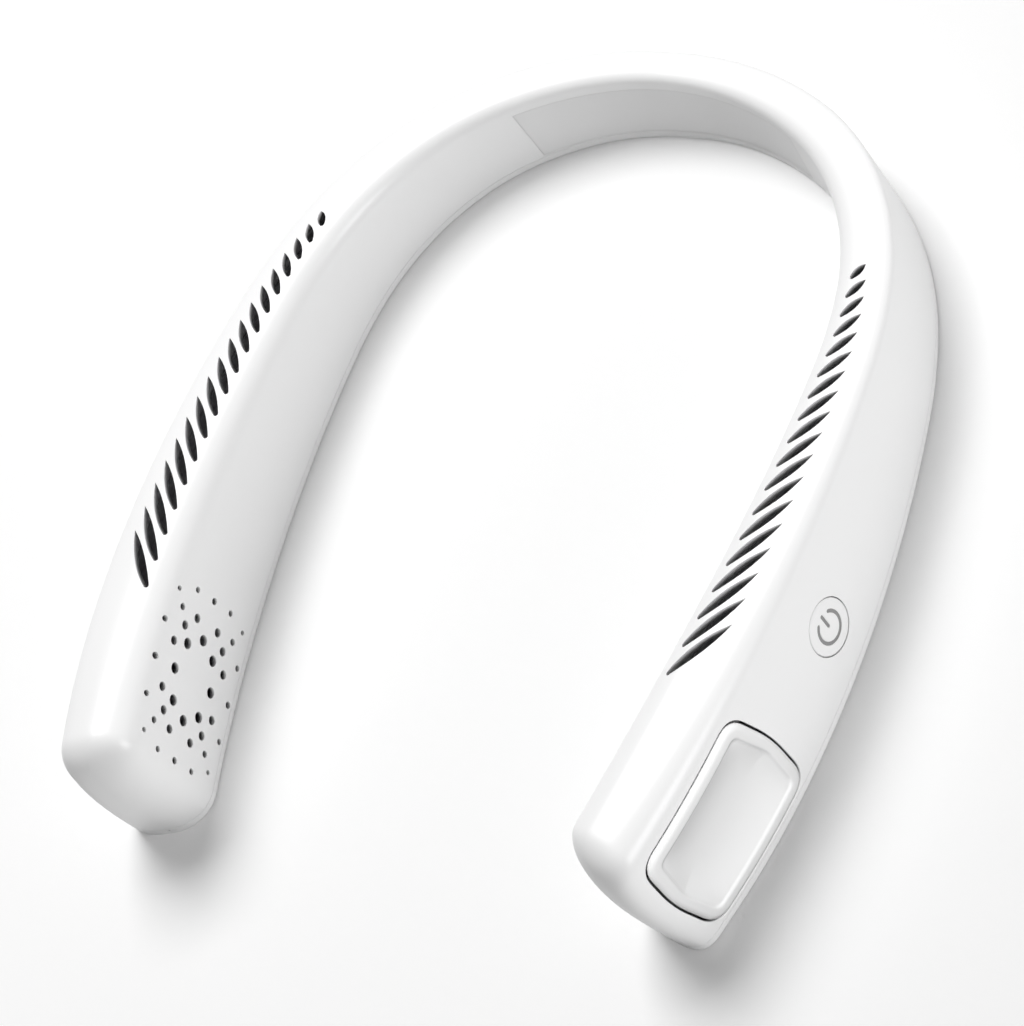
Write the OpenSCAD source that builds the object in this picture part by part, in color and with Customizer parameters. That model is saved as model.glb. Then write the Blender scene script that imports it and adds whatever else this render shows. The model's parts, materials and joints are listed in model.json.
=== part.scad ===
// Neck fan: a U-shaped band that lies round the neck, with a centrifugal blower in each tip.
// The band lies flat on its underside, its tips point along -Y and its back rests at +Y.
// Lengths are millimetres. The origin is under the middle of the band, on the floor.

/* [Plan of the band] */
// Radius of the centreline behind the neck
neck_r = 92; // [60:1:120]
// Turn of the neck arc, degrees each side
neck_angle = 27.8; // [15:0.1:35]
// Radius of the centreline at the shoulder bend
shoulder_r = 69; // [50:1:100]
// Turn of the shoulder bend, degrees
shoulder_angle = 44.4; // [30:0.1:50]
// Radius of the centreline at the collar
collar_r = 100; // [90:1:160]
// Turn of the collar arc, degrees
collar_angle = 10.8; // [8:0.1:24]
// Radius of the centreline along the arm
arm_r = 320; // [250:5:600]
// Turn of the arm arc, degrees
arm_angle = 15; // [8:0.5:16]
// Radius of the centreline at the tip
tip_r = 232; // [150:1:300]
// Turn of the tip arc, degrees
tip_angle = 7.8; // [6:0.1:12]
// Length of the rounded nose past the centreline's end
nose_len = 10; // [6:0.5:14]

/* [Section of the band] */
// Width of the underside: control values from the back to the tip
foot_w = [11, 7, 29.5, 23.2]; // [6:0.1:32]
// Width of the top band: control values from the back to the tip
top_w = [8, 10, 23, 19.5]; // [7:0.5:26]
// Outward shift of the top band: control values from the back to the tip
top_shift = [3, 5.3, -4.3, -1.8]; // [-5:0.1:6]
// Height of the band: control values from the back to the tip
band_h = [20, 16.8, 37, 36.8]; // [15:0.1:44]
// Rise of the top band's crown: control values from the back to the tip
crown = [0.6, 0.9, 1.4, 1.5]; // [0.2:0.1:3]
// Reach of the outer top rounding: control values from the back to the tip
outer_round = [2.8, 2.8, 3.6, 4]; // [1.5:0.1:6]
// Reach of the inner top rounding: control values from the back to the tip
inner_round = [2.6, 3.2, 7.5, 8]; // [1.5:0.1:9]
// Reach of the underside's edge rounding
foot_round = 1.4; // [0.5:0.1:2]

/* [Housing] */
// Wall of the upper shell
wall = 1.8; // [1.4:0.1:2.4]
// Thickness of the bottom cover
floor_t = 2.2; // [1.8:0.1:3]
// Running and assembly clearance between fixed pieces
fit_gap = 0.15; // [0.1:0.05:0.3]

/* [Air outlets] */
// Number of outlet slots in each arm
slot_count = 18; // [10:1:20]
// Distance of the first slot from the centreline's end
slot_from_tip = 138.7; // [128:0.1:142]
// Pitch at the first slot
slot_pitch = 4.36; // [4:0.01:5]
// Gain of the pitch from slot to slot
slot_pitch_gain = 0.14; // [0.05:0.01:0.16]
// Length of the first slot
slot_len_first = 3.8; // [3:0.1:6]
// Length of the last slot
slot_len_last = 16.1; // [12:0.1:18]
// Width of the first slot
slot_w_first = 1.7; // [1.2:0.1:2.2]
// Width of the last slot
slot_w_last = 2.3; // [1.6:0.1:2.6]
// Slant of the first slot to the centreline, degrees
slot_angle_first = 52.4; // [40:0.1:60]
// Slant of the last slot to the centreline, degrees
slot_angle_last = 33.4; // [28:0.1:45]
// Inward shift of the slots from the middle of the top band
slot_shift = 0.8; // [0:0.1:1.5]

/* [Air inlets] */
// Distance of the blower's axis from the centreline's end
fan_from_tip = 20.8; // [19.6:0.1:22]
// Height of the blower's axis
fan_z = 17.3; // [17:0.1:17.5]
// Radius of the inner ring of inlet holes
inlet_ring_r = 9.4; // [8:0.1:10.5]
// Radial pitch of the inlet rings
inlet_pitch = 4.6; // [4:0.1:5]
// Radius of the largest inlet holes
inlet_hole_r = 1.15; // [0.8:0.05:1.4]
// Loss of radius from one inlet ring to the next
inlet_hole_loss = 0.2; // [0.1:0.05:0.25]

/* [Side covers] */
// Distance of the side cover's middle from the centreline's end
cover_from_tip = 15.3; // [14.5:0.1:17]
// Length of the side cover along the band
cover_len = 37; // [34:0.5:38]
// Height of the side cover's lower edge
cover_z = 4; // [3.5:0.1:6]
// Height of the side cover's face
cover_h = 27.4; // [24:0.2:28]
// Outward bow of the side cover's short ends
cover_bow = 2; // [1:0.1:3]
// Corner radius of the side cover
cover_r = 4.6; // [3:0.1:6]
// Air gap round the side cover
cover_gap = 0.9; // [0.5:0.1:1.2]
// Thickness of the side cover
cover_t = 2.8; // [2.4:0.1:3]
// Height by which the side cover's rim stands proud of the band
cover_proud = 0.5; // [0:0.1:0.8]
// Width of the side cover's rim
rim_w = 3.4; // [2.5:0.1:5]
// Depth of the side cover's dish
dish_d = 1.7; // [1:0.1:1.8]
// Radius of a side cover's peg
peg_r = 1.1; // [0.9:0.1:1.2]

/* [Blower] */
// Outer radius of the impeller
wheel_r = 12.3; // [11.8:0.1:12.5]
// Width of the impeller along its axis
wheel_w = 9; // [8.4:0.1:9.2]
// Clearance between the impeller's ends and its casing
wheel_gap = 0.9; // [0.6:0.1:1]
// Number of impeller blades
blade_count = 28; // [18:1:36]
// Length of a blade across the wheel
blade_len = 3.2; // [2.5:0.1:3.6]
// Thickness of a blade
blade_t = 0.6; // [0.5:0.1:0.8]
// Slope of the blades from radial, degrees
blade_angle = 35; // [20:1:45]
// Radius of the impeller's hub
hub_r = 6.6; // [6.4:0.1:7.2]
// Thickness of the hub's shell
hub_t = 0.7; // [0.6:0.1:0.9]
// Thickness of the casing's wall
casing_t = 1; // [0.8:0.1:1.1]
// Gap between the impeller and the casing where the scroll starts
scroll_gap = 0.8; // [0.6:0.1:0.9]
// Rise of the scroll's gap round the wheel
scroll_rise = 1; // [0.8:0.1:1.2]
// Height of the casing's outlet
outlet_h = 7; // [5:0.2:7.4]
// Reach of the outlet from the impeller's axis
outlet_reach = 17.5; // [16.5:0.1:17.6]
// Radius of the casing's inlets
inlet_r = 9.6; // [9:0.1:10]
// Outward shift of the casing's middle from the centreline
casing_shift = -1.5; // [-1.8:0.1:-1.2]
// Height of the bottom cover's bosses under the casing's feet
fan_boss_h = 2.4; // [2:0.1:2.6]
// Thickness of the casing's feet
foot_t = 1.2; // [1:0.1:1.4]
// Depth of the air duct at its blower end
duct_d_fan = 10; // [8:0.2:10.4]
// Depth of the air duct at its closed end
duct_d_back = 6; // [4:0.2:7]
// Thickness of the duct's walls
duct_t = 0.8; // [0.6:0.1:1]

/* [Motor] */
// Radius of the motor's shaft
shaft_r = 0.75; // [0.6:0.05:0.9]
// Running clearance of the shaft in its bush
shaft_gap = 0.03; // [0.02:0.01:0.08]
// Outer radius of the bearing bush
bush_r = 1.8; // [1.6:0.1:1.9]
// Thickness of the bearing tube
tube_t = 0.6; // [0.5:0.05:0.7]
// Outer radius of the stator
stator_r = 4.7; // [4.5:0.1:4.9]
// Height of the stator's laminations
stator_h = 3.2; // [2.6:0.1:3.4]
// Number of stator poles
pole_count = 4; // [3:1:6]
// Air gap between the stator and the magnet ring
magnet_gap = 0.35; // [0.25:0.05:0.5]
// Height of the magnet ring
magnet_h = 5; // [4:0.1:5.4]
// Thickness of the motor's ring board
ring_board_t = 0.8; // [0.6:0.1:0.9]

/* [Batteries] */
// Diameter of a battery cell
cell_d = 12.6; // [11:0.1:12.8]
// Length of a battery cell
cell_len = 42; // [36:0.5:42.5]
// Gap between the cell and the circuit board's clip
cell_gap = 2.6; // [1:0.1:4]
// Outward shift of the cell from the centreline
cell_shift = -0.4; // [-0.6:0.1:-0.2]

/* [Electronics and button] */
// Distance of the button's axis from the centreline's end
button_from_tip = 61.8; // [60.5:0.1:62.5]
// Height of the button's axis
button_z = 14.2; // [13.6:0.1:14.4]
// Radius of the button's opening in the shell
button_hole_r = 6.7; // [5.5:0.1:6.8]
// Gap round the button
button_gap = 0.2; // [0.15:0.05:0.3]
// Travel of the button
button_travel = 0.4; // [0.2:0.05:0.45]
// Length of the circuit board along the band
board_len = 20; // [18:0.5:20.5]
// Height of the circuit board
board_h = 16.4; // [15:0.2:17]
// Thickness of the circuit board
board_t = 1; // [0.8:0.1:1.1]
// Outward shift of the circuit board's inner face
board_shift = 3; // [2.9:0.1:3.1]
// Side of the push switch's square body
switch_w = 4.6; // [4:0.1:5]
// Height of the push switch's body over the board
switch_h = 2.2; // [2:0.1:2.3]
// Width of the charging socket
socket_w = 8.9; // [8.3:0.1:9.2]
// Thickness of the charging socket
socket_t = 3.2; // [3:0.1:3.3]
// Depth of the charging socket
socket_l = 7.3; // [6.5:0.1:8]
// Width of the flat cable that joins the arms
ribbon_w = 2.6; // [2:0.1:2.8]
// Thickness of the flat cable
ribbon_t = 0.8; // [0.6:0.1:0.9]

/* [Neck pad] */
// Half length of the neck pad along the band
pad_half = 42; // [30:1:50]
// Thickness of the neck pad
pad_t = 0.9; // [0.6:0.1:1]
// Distance of the pad's edges from the top and the underside
pad_edge = 3.6; // [3.4:0.1:5]

/* [Screws] */
// Radius of a screw's thread
screw_r = 0.85; // [0.7:0.05:0.95]
// Radius of a screw's head
head_r = 1.6; // [1.5:0.1:1.7]
// Height of a screw's head
head_h = 0.9; // [0.7:0.1:1]
// Length of a case screw below its head
screw_len = 5.6; // [4.5:0.1:6]
// Radius of a screw boss
boss_r = 2; // [1.9:0.1:2.1]

/* [Hidden] */
$fn = 32;

// Cuts run past the faces they open by this much
overrun = 1;
// Gap left between pieces that are pressed or glued together
seat = 0.02;

// Steps of the band's shape along each arm, round its nose and round its edges
steps = 25;
nose_steps = 5;
bend_steps = 4;

// Nose: the power of its superellipse, the angle it is swept to and how far its top drops
nose_power = 2.8;
nose_angle = 84;
nose_drop_share = 0.24;

// Slots: how their length grows, the part of the leaf cut off at the inner end, and their depth
slot_growth_share = 0.81;
slot_blunt_share = 0.12;
slot_depth = 3 * wall;

// Inlets: how far the pattern is squashed in height, and the place of its extra holes, in
// ring pitches and degrees
inlet_squash_share = 0.75;
inlet_extra_share = 2.4;
inlet_extra_angle = 20;

// Blower casing, measured outward along its axis from the casing's middle
casing_half = wheel_w / 2 + wheel_gap + casing_t;
plate_in = casing_half - casing_t;
outlet_top = wheel_r + scroll_gap + scroll_rise;
peg_ring_r = inlet_r + casing_t + peg_r;
foot_x = outlet_reach - casing_t;
foot_z = floor_t + fan_boss_h;
hub_end = wheel_w / 2 - wheel_gap;
hub_in = -wheel_w / 2 + hub_t;
tube_in = hub_in + 1.5 * hub_t;
base_r = stator_r + casing_t / 2;

// Air duct: heights of its sides and of its end wall
duct_wall_share = 0.4;
duct_end_share = 0.35;

// Electronics, in the frame of the button's axis
cell_z = floor_t + ribbon_t + 2 * fit_gap + cell_d / 2;
board_z = floor_t + ribbon_t + fit_gap;
board_out = board_shift + board_t;
board_x = board_len / 2 - switch_w / 2 - board_t;
socket_x = board_x + board_len / 2 - socket_w / 2 - 1.5 * board_t;
flange_t = 4 * button_gap;
plunger_out = button_travel + fit_gap;
plunger_r = switch_w / 4;
ribbon_shift = -ribbon_w / 2;

// Case screws: places along each arm, then the wall each stands by, outer, inner or none
case_screw_shares = [0.1, 0.32, 0.724];
case_screw_ways = [1, 1, -1, 0];
boss_in = 0.7 * boss_r;

// Cross recess in a screw's head
recess_l = 1.2 * head_r;
recess_w = 0.24 * head_r;

// Small parts: the stator's core, shoes, stems and windings, then what stands on the board
core_r = bush_r + 2 * tube_t;
shoe_t = 0.7;
stem_w = 1.2;
coil_t = 0.7;
coil_reach = sqrt(pow(stator_r - shoe_t, 2) - pow(stem_w / 2 + coil_t, 2));
stator_mid = wheel_gap / 3;
chip_w = 5;
chip_t = 0.9;
boost_r = 2.6;
boost_h = 2.2;
socket_wall = 0.35;
tongue_t = 0.7;
tongue_share = 0.74;

arcs_r = [neck_r, shoulder_r, collar_r, arm_r, tip_r];
arcs_a = [neck_angle, shoulder_angle, collar_angle, arm_angle, tip_angle];
arcs_l = [for (i = [0:4]) arcs_r[i] * arcs_a[i] * PI / 180];
function total(v, n) = n == 0 ? 0 : v[n - 1] + total(v, n - 1);
band_len = total(arcs_l, 5);

// Distances from the back along the centreline, of what is set out from the tips
slot_s = band_len - slot_from_tip;
fan_s = band_len - fan_from_tip;
cover_s = band_len - cover_from_tip;
button_s = band_len - button_from_tip;
duct_start = slot_s - slot_len_first;
duct_end = fan_s - outlet_reach - 6 * fit_gap;
cell_s = button_s + board_x - board_len / 2 - cell_gap - cell_len / 2;

// Case screws on each arm; the last one stands in the nose
case_screw_s = concat(case_screw_shares * band_len, [band_len + nose_len - wall - boss_in]);

// Start of each arc: the turn so far and the point, with +Y outward at the back
function arc_end(p, a, r, turn) =
    p + r * [sin(a + turn) - sin(a), cos(a + turn) - cos(a)];
starts = [for (i = 0, a = 0, p = [0, 0]; i < 5;
    p = arc_end(p, a, arcs_r[i], arcs_a[i]), a = a + arcs_a[i], i = i + 1) [a, p]];
function arc_of(s, i = 4) = i == 0 || s >= total(arcs_l, i) ? i : arc_of(s, i - 1);
function turn_at(s) = let (i = arc_of(s))
    starts[i][0] + (s - total(arcs_l, i)) / arcs_r[i] * 180 / PI;
function plan_at(s) = let (i = arc_of(s))
    arc_end(starts[i][1], starts[i][0], arcs_r[i], turn_at(s) - starts[i][0]);
function outward(a) = [sin(a), cos(a)];
function forward(a) = [cos(a), -sin(a)];

// Section sizes at a distance s along the centreline
function blend(v, u) = v[0] * pow(1 - u, 3) + 3 * v[1] * u * pow(1 - u, 2)
    + 3 * v[2] * u * u * (1 - u) + v[3] * pow(u, 3);
function size_at(v, s) = blend(v, min(s / band_len, 1));
function height_at(s) = size_at(band_h, s);
function side_at(s, z, way) = let (foot = way * size_at(foot_w, s) / 2,
    top = size_at(top_shift, s) + way * size_at(top_w, s) / 2)
    foot + (top - foot) * z / height_at(s);
function outer_at(s, z) = side_at(s, z, 1);
function inner_at(s, z) = side_at(s, z, -1);
function duct_floor(s) = height_at(s) - wall - duct_d_back
    - (duct_d_fan - duct_d_back) * (s - duct_start) / (duct_end - duct_start);

// The origin lies under the middle of the band, between its back and its tips
back_y = outer_at(0, 0);
tip_y = plan_at(band_len)[1] + forward(turn_at(band_len))[1] * nose_len;
mid_y = -(back_y + tip_y) / 2;

// The button follows the lean of the outer wall and its slant to the centreline
button_lean = atan((outer_at(button_s, 0) - outer_at(button_s, height_at(button_s)))
    / height_at(button_s));
button_face = outer_at(button_s, button_z);
button_skew = atan((outer_at(button_s + button_hole_r, button_z)
    - outer_at(button_s - button_hole_r, button_z)) / (2 * button_hole_r));

// A corner p of an outline, rounded from r before it to r after it
function unit(v) = v / norm(v);
function bend(a, p, b, r, n = bend_steps) =
    let (q = p + unit(a - p) * r, w = p + unit(b - p) * r)
    [for (i = [0:n]) let (t = i / n) q * pow(1 - t, 2) + p * 2 * t * (1 - t) + w * t * t];

// Outline of the band's section from its inner wall at height z over the top to its outer wall;
// drawn in by t, it runs straight down from z to clear the floor
function arch(s, t, z, n = bend_steps) =
    let (top = height_at(s) - t, a = [inner_at(s, z) + t, z], b = [inner_at(s, top) + t, top],
        c = [size_at(top_shift, s), top + size_at(crown, s)],
        d = [outer_at(s, top) - t, top], e = [outer_at(s, z) - t, z], down = [0, 2 * overrun])
    concat(t > 0 ? [a - down] : [], [a], bend(a, b, c, size_at(inner_round, s) - t / 2, n),
        [c], bend(c, d, e, size_at(outer_round, s) - t / 2, n), [e], t > 0 ? [e - down] : []);

// Outline of the bottom cover's section
function foot(s) =
    let (a = [inner_at(s, floor_t), floor_t], b = [inner_at(s, 0), 0],
        c = [outer_at(s, 0), 0], d = [outer_at(s, floor_t), floor_t])
    concat([d], bend(d, c, b, foot_round, 2), bend(c, b, a, foot_round, 2), [a]);

// Outline of a strip of the wall between two heights, from t1 outside its face to t2 inside it;
// way is 1 on the outer wall and -1 on the inner one
function strip(s, z1, z2, t1, t2, way) = let (p = [
    [side_at(s, z1, way) + way * t1, z1], [side_at(s, z2, way) + way * t1, z2],
    [side_at(s, z2, way) - way * t2, z2], [side_at(s, z1, way) - way * t2, z1]])
    way > 0 ? [for (i = [3:-1:0]) p[i]] : p;

// A ring of points in space from an outline at s, on the left arm where s is below zero, moved d
// past it and squeezed toward its middle
function ring(s, outline, d = 0, squeeze = 1) =
    let (a = turn_at(abs(s)), side = s < 0 ? -1 : 1, c = plan_at(abs(s)) + forward(a) * d,
        last = outline[len(outline) - 1], mid = (outline[0][0] + last[0]) / 2,
        base = outline[0][1], drop = 1 - nose_drop_share * (1 - squeeze))
    [for (p = outline)
        let (q = c + outward(a) * (mid + (p[0] - mid) * squeeze))
        [side * q[0], q[1] + mid_y, p[1] > base ? base + (p[1] - base) * drop : p[1]]];

// Rings round a nose of length l that closes the outline at the end of an arm
function nose_rings(s, outline, l, order) = [for (i = order)
    let (a = i / nose_steps * nose_angle)
    ring(s, outline, l * pow(sin(a), 2 / nose_power), pow(cos(a), 2 / nose_power))];

// Solid between rings of equal length; its ends are fans of flat faces
module loft(rings) {
    n = len(rings[0]);
    m = len(rings);
    polyhedron(
        points = [for (r = rings) each r],
        faces = concat(
            [[for (i = [n - 1:-1:0]) i], [for (i = [0:n - 1]) (m - 1) * n + i]],
            [for (j = [0:m - 2], i = [0:n - 1])
                [j * n + i, (j + 1) * n + (i + 1) % n, (j + 1) * n + i]],
            [for (j = [0:m - 2], i = [0:n - 1])
                [j * n + i, j * n + (i + 1) % n, (j + 1) * n + (i + 1) % n]]),
        convexity = 8);
}

// The whole band as one solid with n rings a side, drawn in by t, above the height z
module band(t, z, edge, n = steps) {
    tip = arch(band_len, t, z, edge);
    loft(concat(
        nose_rings(-band_len, tip, nose_len - t, [nose_steps:-1:1]),
        [for (i = [-n:n])
            ring(band_len * i / n, arch(band_len * abs(i) / n, t, z, edge))],
        nose_rings(band_len, tip, nose_len - t, [1:nose_steps])));
}

// Places its children at s: X runs toward the tip, Y outward and Z up; side -1 is the left arm
module place(s, side = 1) {
    p = plan_at(s);
    mirror([side < 0 ? 1 : 0, 0, 0])
        translate([p[0], p[1] + mid_y, 0]) rotate(-turn_at(s)) children();
}

// Turns children drawn in X and Y to stand in the wall's plane, so that their Z points outward
module face_out() {
    rotate([-90, 0, 0]) mirror([0, 1, 0]) children();
}

// Places its children on the blower's axis, at the casing's middle
module on_fan(side) {
    place(fan_s, side) translate([0, casing_shift, fan_z]) face_out() children();
}

// Places its children on the button's axis, at the centreline
module on_button() {
    place(button_s) translate([0, 0, button_z]) face_out() children();
}

module tube(r_out, r_in, h) {
    difference() {
        cylinder(r = r_out, h = h);
        translate([0, 0, -overrun]) cylinder(r = r_in, h = h + 2 * overrun);
    }
}

// Slot-shaped outline with round ends
module pill(w, t) {
    square([w - t, t], center = true);
    for (x = [-1, 1] * (w - t) / 2) translate([x, 0]) circle(d = t);
}

// Leaf-shaped outline along X, with a pointed outer end and a blunt inner one
module leaf(l, w) {
    half = l * (1 + slot_blunt_share) / 2;
    r = (half * half + w * w / 4) / w;
    intersection() {
        translate([half - l / 2, r - w / 2]) circle(r = r, $fn = 56);
        translate([half - l / 2, w / 2 - r]) circle(r = r, $fn = 56);
        translate([-l / 2 - overrun, -w]) square([l + overrun, 2 * w]);
    }
}

// Outlet slots of one arm, each cut down through the top band
module slots(side) {
    for (i = [0:slot_count - 1]) {
        f = i / (slot_count - 1);
        s = slot_s + slot_pitch * i + slot_pitch_gain / 2 * i * i;
        l = slot_len_first + (slot_len_last - slot_len_first) * pow(f, slot_growth_share);
        place(s, side)
            translate([0, size_at(top_shift, s) - slot_shift, height_at(s) - slot_depth])
                rotate(-(slot_angle_first + (slot_angle_last - slot_angle_first) * f))
                    linear_extrude(height = 2 * slot_depth)
                        leaf(l, slot_w_first + (slot_w_last - slot_w_first) * f);
    }
}

// Inlet holes of one arm: eight spokes of holes in rings, with more holes between the spokes
module inlets(side) {
    spots = concat(
        [for (k = [0:7], n = [0:(k % 2 == 0 ? 2 : 1):(k % 2 == 0 ? 2 : 3)]) [n, 45 * k]],
        [for (k = [0:7]) [1, 22.5 + 45 * k]],
        [for (k = [0:3], way = [-1, 1]) [inlet_extra_share, 45 + 90 * k + inlet_extra_angle * way]]);
    place(fan_s, side) translate([0, 0, fan_z]) face_out()
        for (spot = spots) {
            r = inlet_ring_r + inlet_pitch * spot[0];
            translate([r * cos(spot[1]), r * inlet_squash_share * sin(spot[1]),
                inner_at(fan_s, fan_z) - 2 * wall])
                cylinder(r = inlet_hole_r - inlet_hole_loss * spot[0], h = 4 * wall, $fn = 10);
        }
}

// Outline of the side cover's face, grown by g, about its own middle
module cover_outline(g) {
    x = cover_len / 2 + g;
    y = cover_h / 2 + g;
    r = cover_r + g;
    p = [[-x, -y], [-x - cover_bow, 0], [-x, y], [x, y], [x + cover_bow, 0], [x, -y]];
    polygon([for (i = [0:5]) each bend(p[(i + 5) % 6], p[i], p[(i + 1) % 6], r, 4)]);
}

// Prism through the outer wall under the side cover's outline, grown by g
module cover_prism(side, g) {
    place(cover_s, side) translate([0, 0, cover_z + cover_h / 2]) face_out()
        linear_extrude(height = 2 * foot_w[3]) cover_outline(g);
}

// Strip of the outer wall that the side cover is cut from
module cover_strip(side, t1, t2) {
    reach = cover_len / 2 + 2 * cover_bow;
    n = 8;
    s1 = cover_s - reach;
    loft([for (i = [0:n]) let (s = s1 + 2 * reach * (side > 0 ? i : n - i) / n)
        ring(side * s, strip(s, cover_z - cover_gap, cover_z + cover_h + cover_gap, t1, t2, 1))]);
}

// Strip along the inner wall at the back, for the neck pad and its recess
module pad_strip(g, t1, t2) {
    n = 14;
    loft([for (i = [0:n])
        let (s = (pad_half + g) * (2 * i / n - 1), h = height_at(abs(s)))
        ring(s, strip(abs(s), pad_edge - g, h - pad_edge + g, t1, t2, -1))]);
}

// Places its children where case screw i of an arm stands: by the outer wall, by the inner wall,
// or in the nose
module at_case_screw(i, side) {
    s = case_screw_s[i];
    way = case_screw_ways[i];
    place(s, side)
        translate([0, way == 0 ? 0 : side_at(s, 0, way) - way * (wall + boss_in), 0]) children();
}

module upper_shell() {
    color("white") difference() {
        union() {
            difference() {
                band(0, floor_t, bend_steps);
                band(wall, floor_t + overrun, bend_steps / 2, steps - 1);
                for (side = [-1, 1]) {
                    slots(side);
                    inlets(side);
                    cover_prism(side, cover_gap);
                }
                pad_strip(fit_gap, overrun, pad_t + fit_gap);
                on_button() translate([0, 0, board_out + switch_h])
                    cylinder(r = button_hole_r, h = button_face);
            }
            for (side = [-1, 1], i = [0:3]) at_case_screw(i, side)
                translate([0, 0, floor_t]) cylinder(r = boss_r, h = screw_len + wall, $fn = 16);
        }
        for (side = [-1, 1], i = [0:3]) at_case_screw(i, side)
            cylinder(r = screw_r + seat, h = floor_t + screw_len, $fn = 16);
    }
}

// Pair of blocks that cradle a battery cell, from the cover up to the cell's side
module cradle(side) {
    for (x = [-1, 1] * cell_len / 3)
        place(cell_s, side) translate([x, cell_shift, 0])
            difference() {
                for (y = [-cell_d / 2, cell_d / 4 + fit_gap])
                    translate([-wall / 2, y, floor_t])
                        cube([wall, cell_d / 4 - fit_gap, cell_d / 3]);
                translate([-wall, 0, cell_z]) rotate([0, 90, 0])
                    cylinder(r = cell_d / 2 + fit_gap, h = 2 * wall);
            }
}

module bottom_cover() {
    tip = foot(band_len);
    color("white") {
        difference() {
            loft(concat(
                nose_rings(-band_len, tip, nose_len, [nose_steps:-1:1]),
                [for (i = [-steps:steps])
                    ring(band_len * i / steps, foot(band_len * abs(i) / steps))],
                nose_rings(band_len, tip, nose_len, [1:nose_steps])));
            for (side = [-1, 1], i = [0:3]) at_case_screw(i, side) {
                translate([0, 0, -overrun]) cylinder(r = screw_r + fit_gap, h = floor_t + 2 * overrun);
                translate([0, 0, -overrun]) cylinder(r = head_r + fit_gap, h = floor_t / 2 + overrun);
            }
            place(button_s) translate([socket_x, board_out + socket_t / 2, -overrun])
                linear_extrude(height = floor_t + 2 * overrun)
                    pill(socket_w + 2 * fit_gap, socket_t + 2 * fit_gap);
        }
        for (side = [-1, 1]) {
            cradle(side);
            for (x = [-1, 1]) place(fan_s, side) translate([x * foot_x, casing_shift, floor_t - seat])
                tube(boss_r, screw_r + seat, fan_boss_h);
        }
        // Clips that hold the circuit board by its ends
        place(button_s) for (x = [board_x - board_len / 2, board_x + board_len / 2 - board_t])
            difference() {
                translate([x, board_shift - board_t, floor_t])
                    cube([board_t, 3 * board_t, 3 * board_t]);
                translate([x - overrun, board_shift - seat, board_z])
                    cube([board_t + 2 * overrun, board_t + 2 * seat, board_h]);
            }
    }
}

module neck_pad() {
    color("gainsboro") pad_strip(0, 0, pad_t);
}

module side_cover(side) {
    color("white") {
        difference() {
            intersection() {
                cover_strip(side, cover_proud, cover_t - cover_proud);
                cover_prism(side, 0);
            }
            intersection() {
                cover_strip(side, 2 * cover_proud, dish_d - cover_proud);
                cover_prism(side, -rim_w);
            }
        }
        // Pegs that stand in the casing's sockets
        for (a = [45:90:315]) {
            x = peg_ring_r * cos(a);
            y = peg_ring_r * sin(a);
            reach = outer_at(fan_s, fan_z + y) - casing_shift - cover_t + cover_proud;
            on_fan(side) translate([x, y, casing_half + seat])
                cylinder(r = peg_r, h = reach - casing_half + cover_t / 4);
        }
    }
}

// Trough under the outlet slots, closed at its back end, that feeds them from the blower
module air_duct(side) {
    g = wall + 2 * fit_gap;
    n = 12;
    color("dimgray") loft([for (i = [0:n])
        let (s = duct_start + (duct_end - duct_start) * (side > 0 ? i : n - i) / n,
            z = duct_floor(s), top = z + duct_wall_share * (height_at(s) - wall - z),
            base = z + duct_t)
        ring(side * s, [
            [inner_at(s, z) + g, z], [inner_at(s, top) + g, top],
            [inner_at(s, top) + g + duct_t, top], [inner_at(s, base) + g + duct_t, base],
            [outer_at(s, base) - g - duct_t, base], [outer_at(s, top) - g - duct_t, top],
            [outer_at(s, top) - g, top], [outer_at(s, z) - g, z]])]);
    // Wall across the closed end, let into the trough's sides and floor
    color("dimgray") loft([for (i = [0, 1])
        let (s = duct_start + duct_t * (side > 0 ? i : 1 - i) + duct_t / 4,
            z = duct_floor(duct_start) + duct_t / 2,
            top = z + duct_end_share * (height_at(duct_start) - wall - z), in = g + duct_t / 2)
        ring(side * s, [[inner_at(s, z) + in, z], [inner_at(s, top) + in, top],
            [outer_at(s, top) - in, top], [outer_at(s, z) - in, z]])]);
}

// Outline of the blower's scroll, grown by g, with its outlet toward the back
module scroll(g, reach) {
    polygon([for (a = [0:15:360])
        let (r = wheel_r + scroll_gap + scroll_rise * a / 360 + g) [-r * sin(a), r * cos(a)]]);
    translate([-reach, outlet_top - outlet_h - g]) square([reach, outlet_h + 2 * g]);
}

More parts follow.
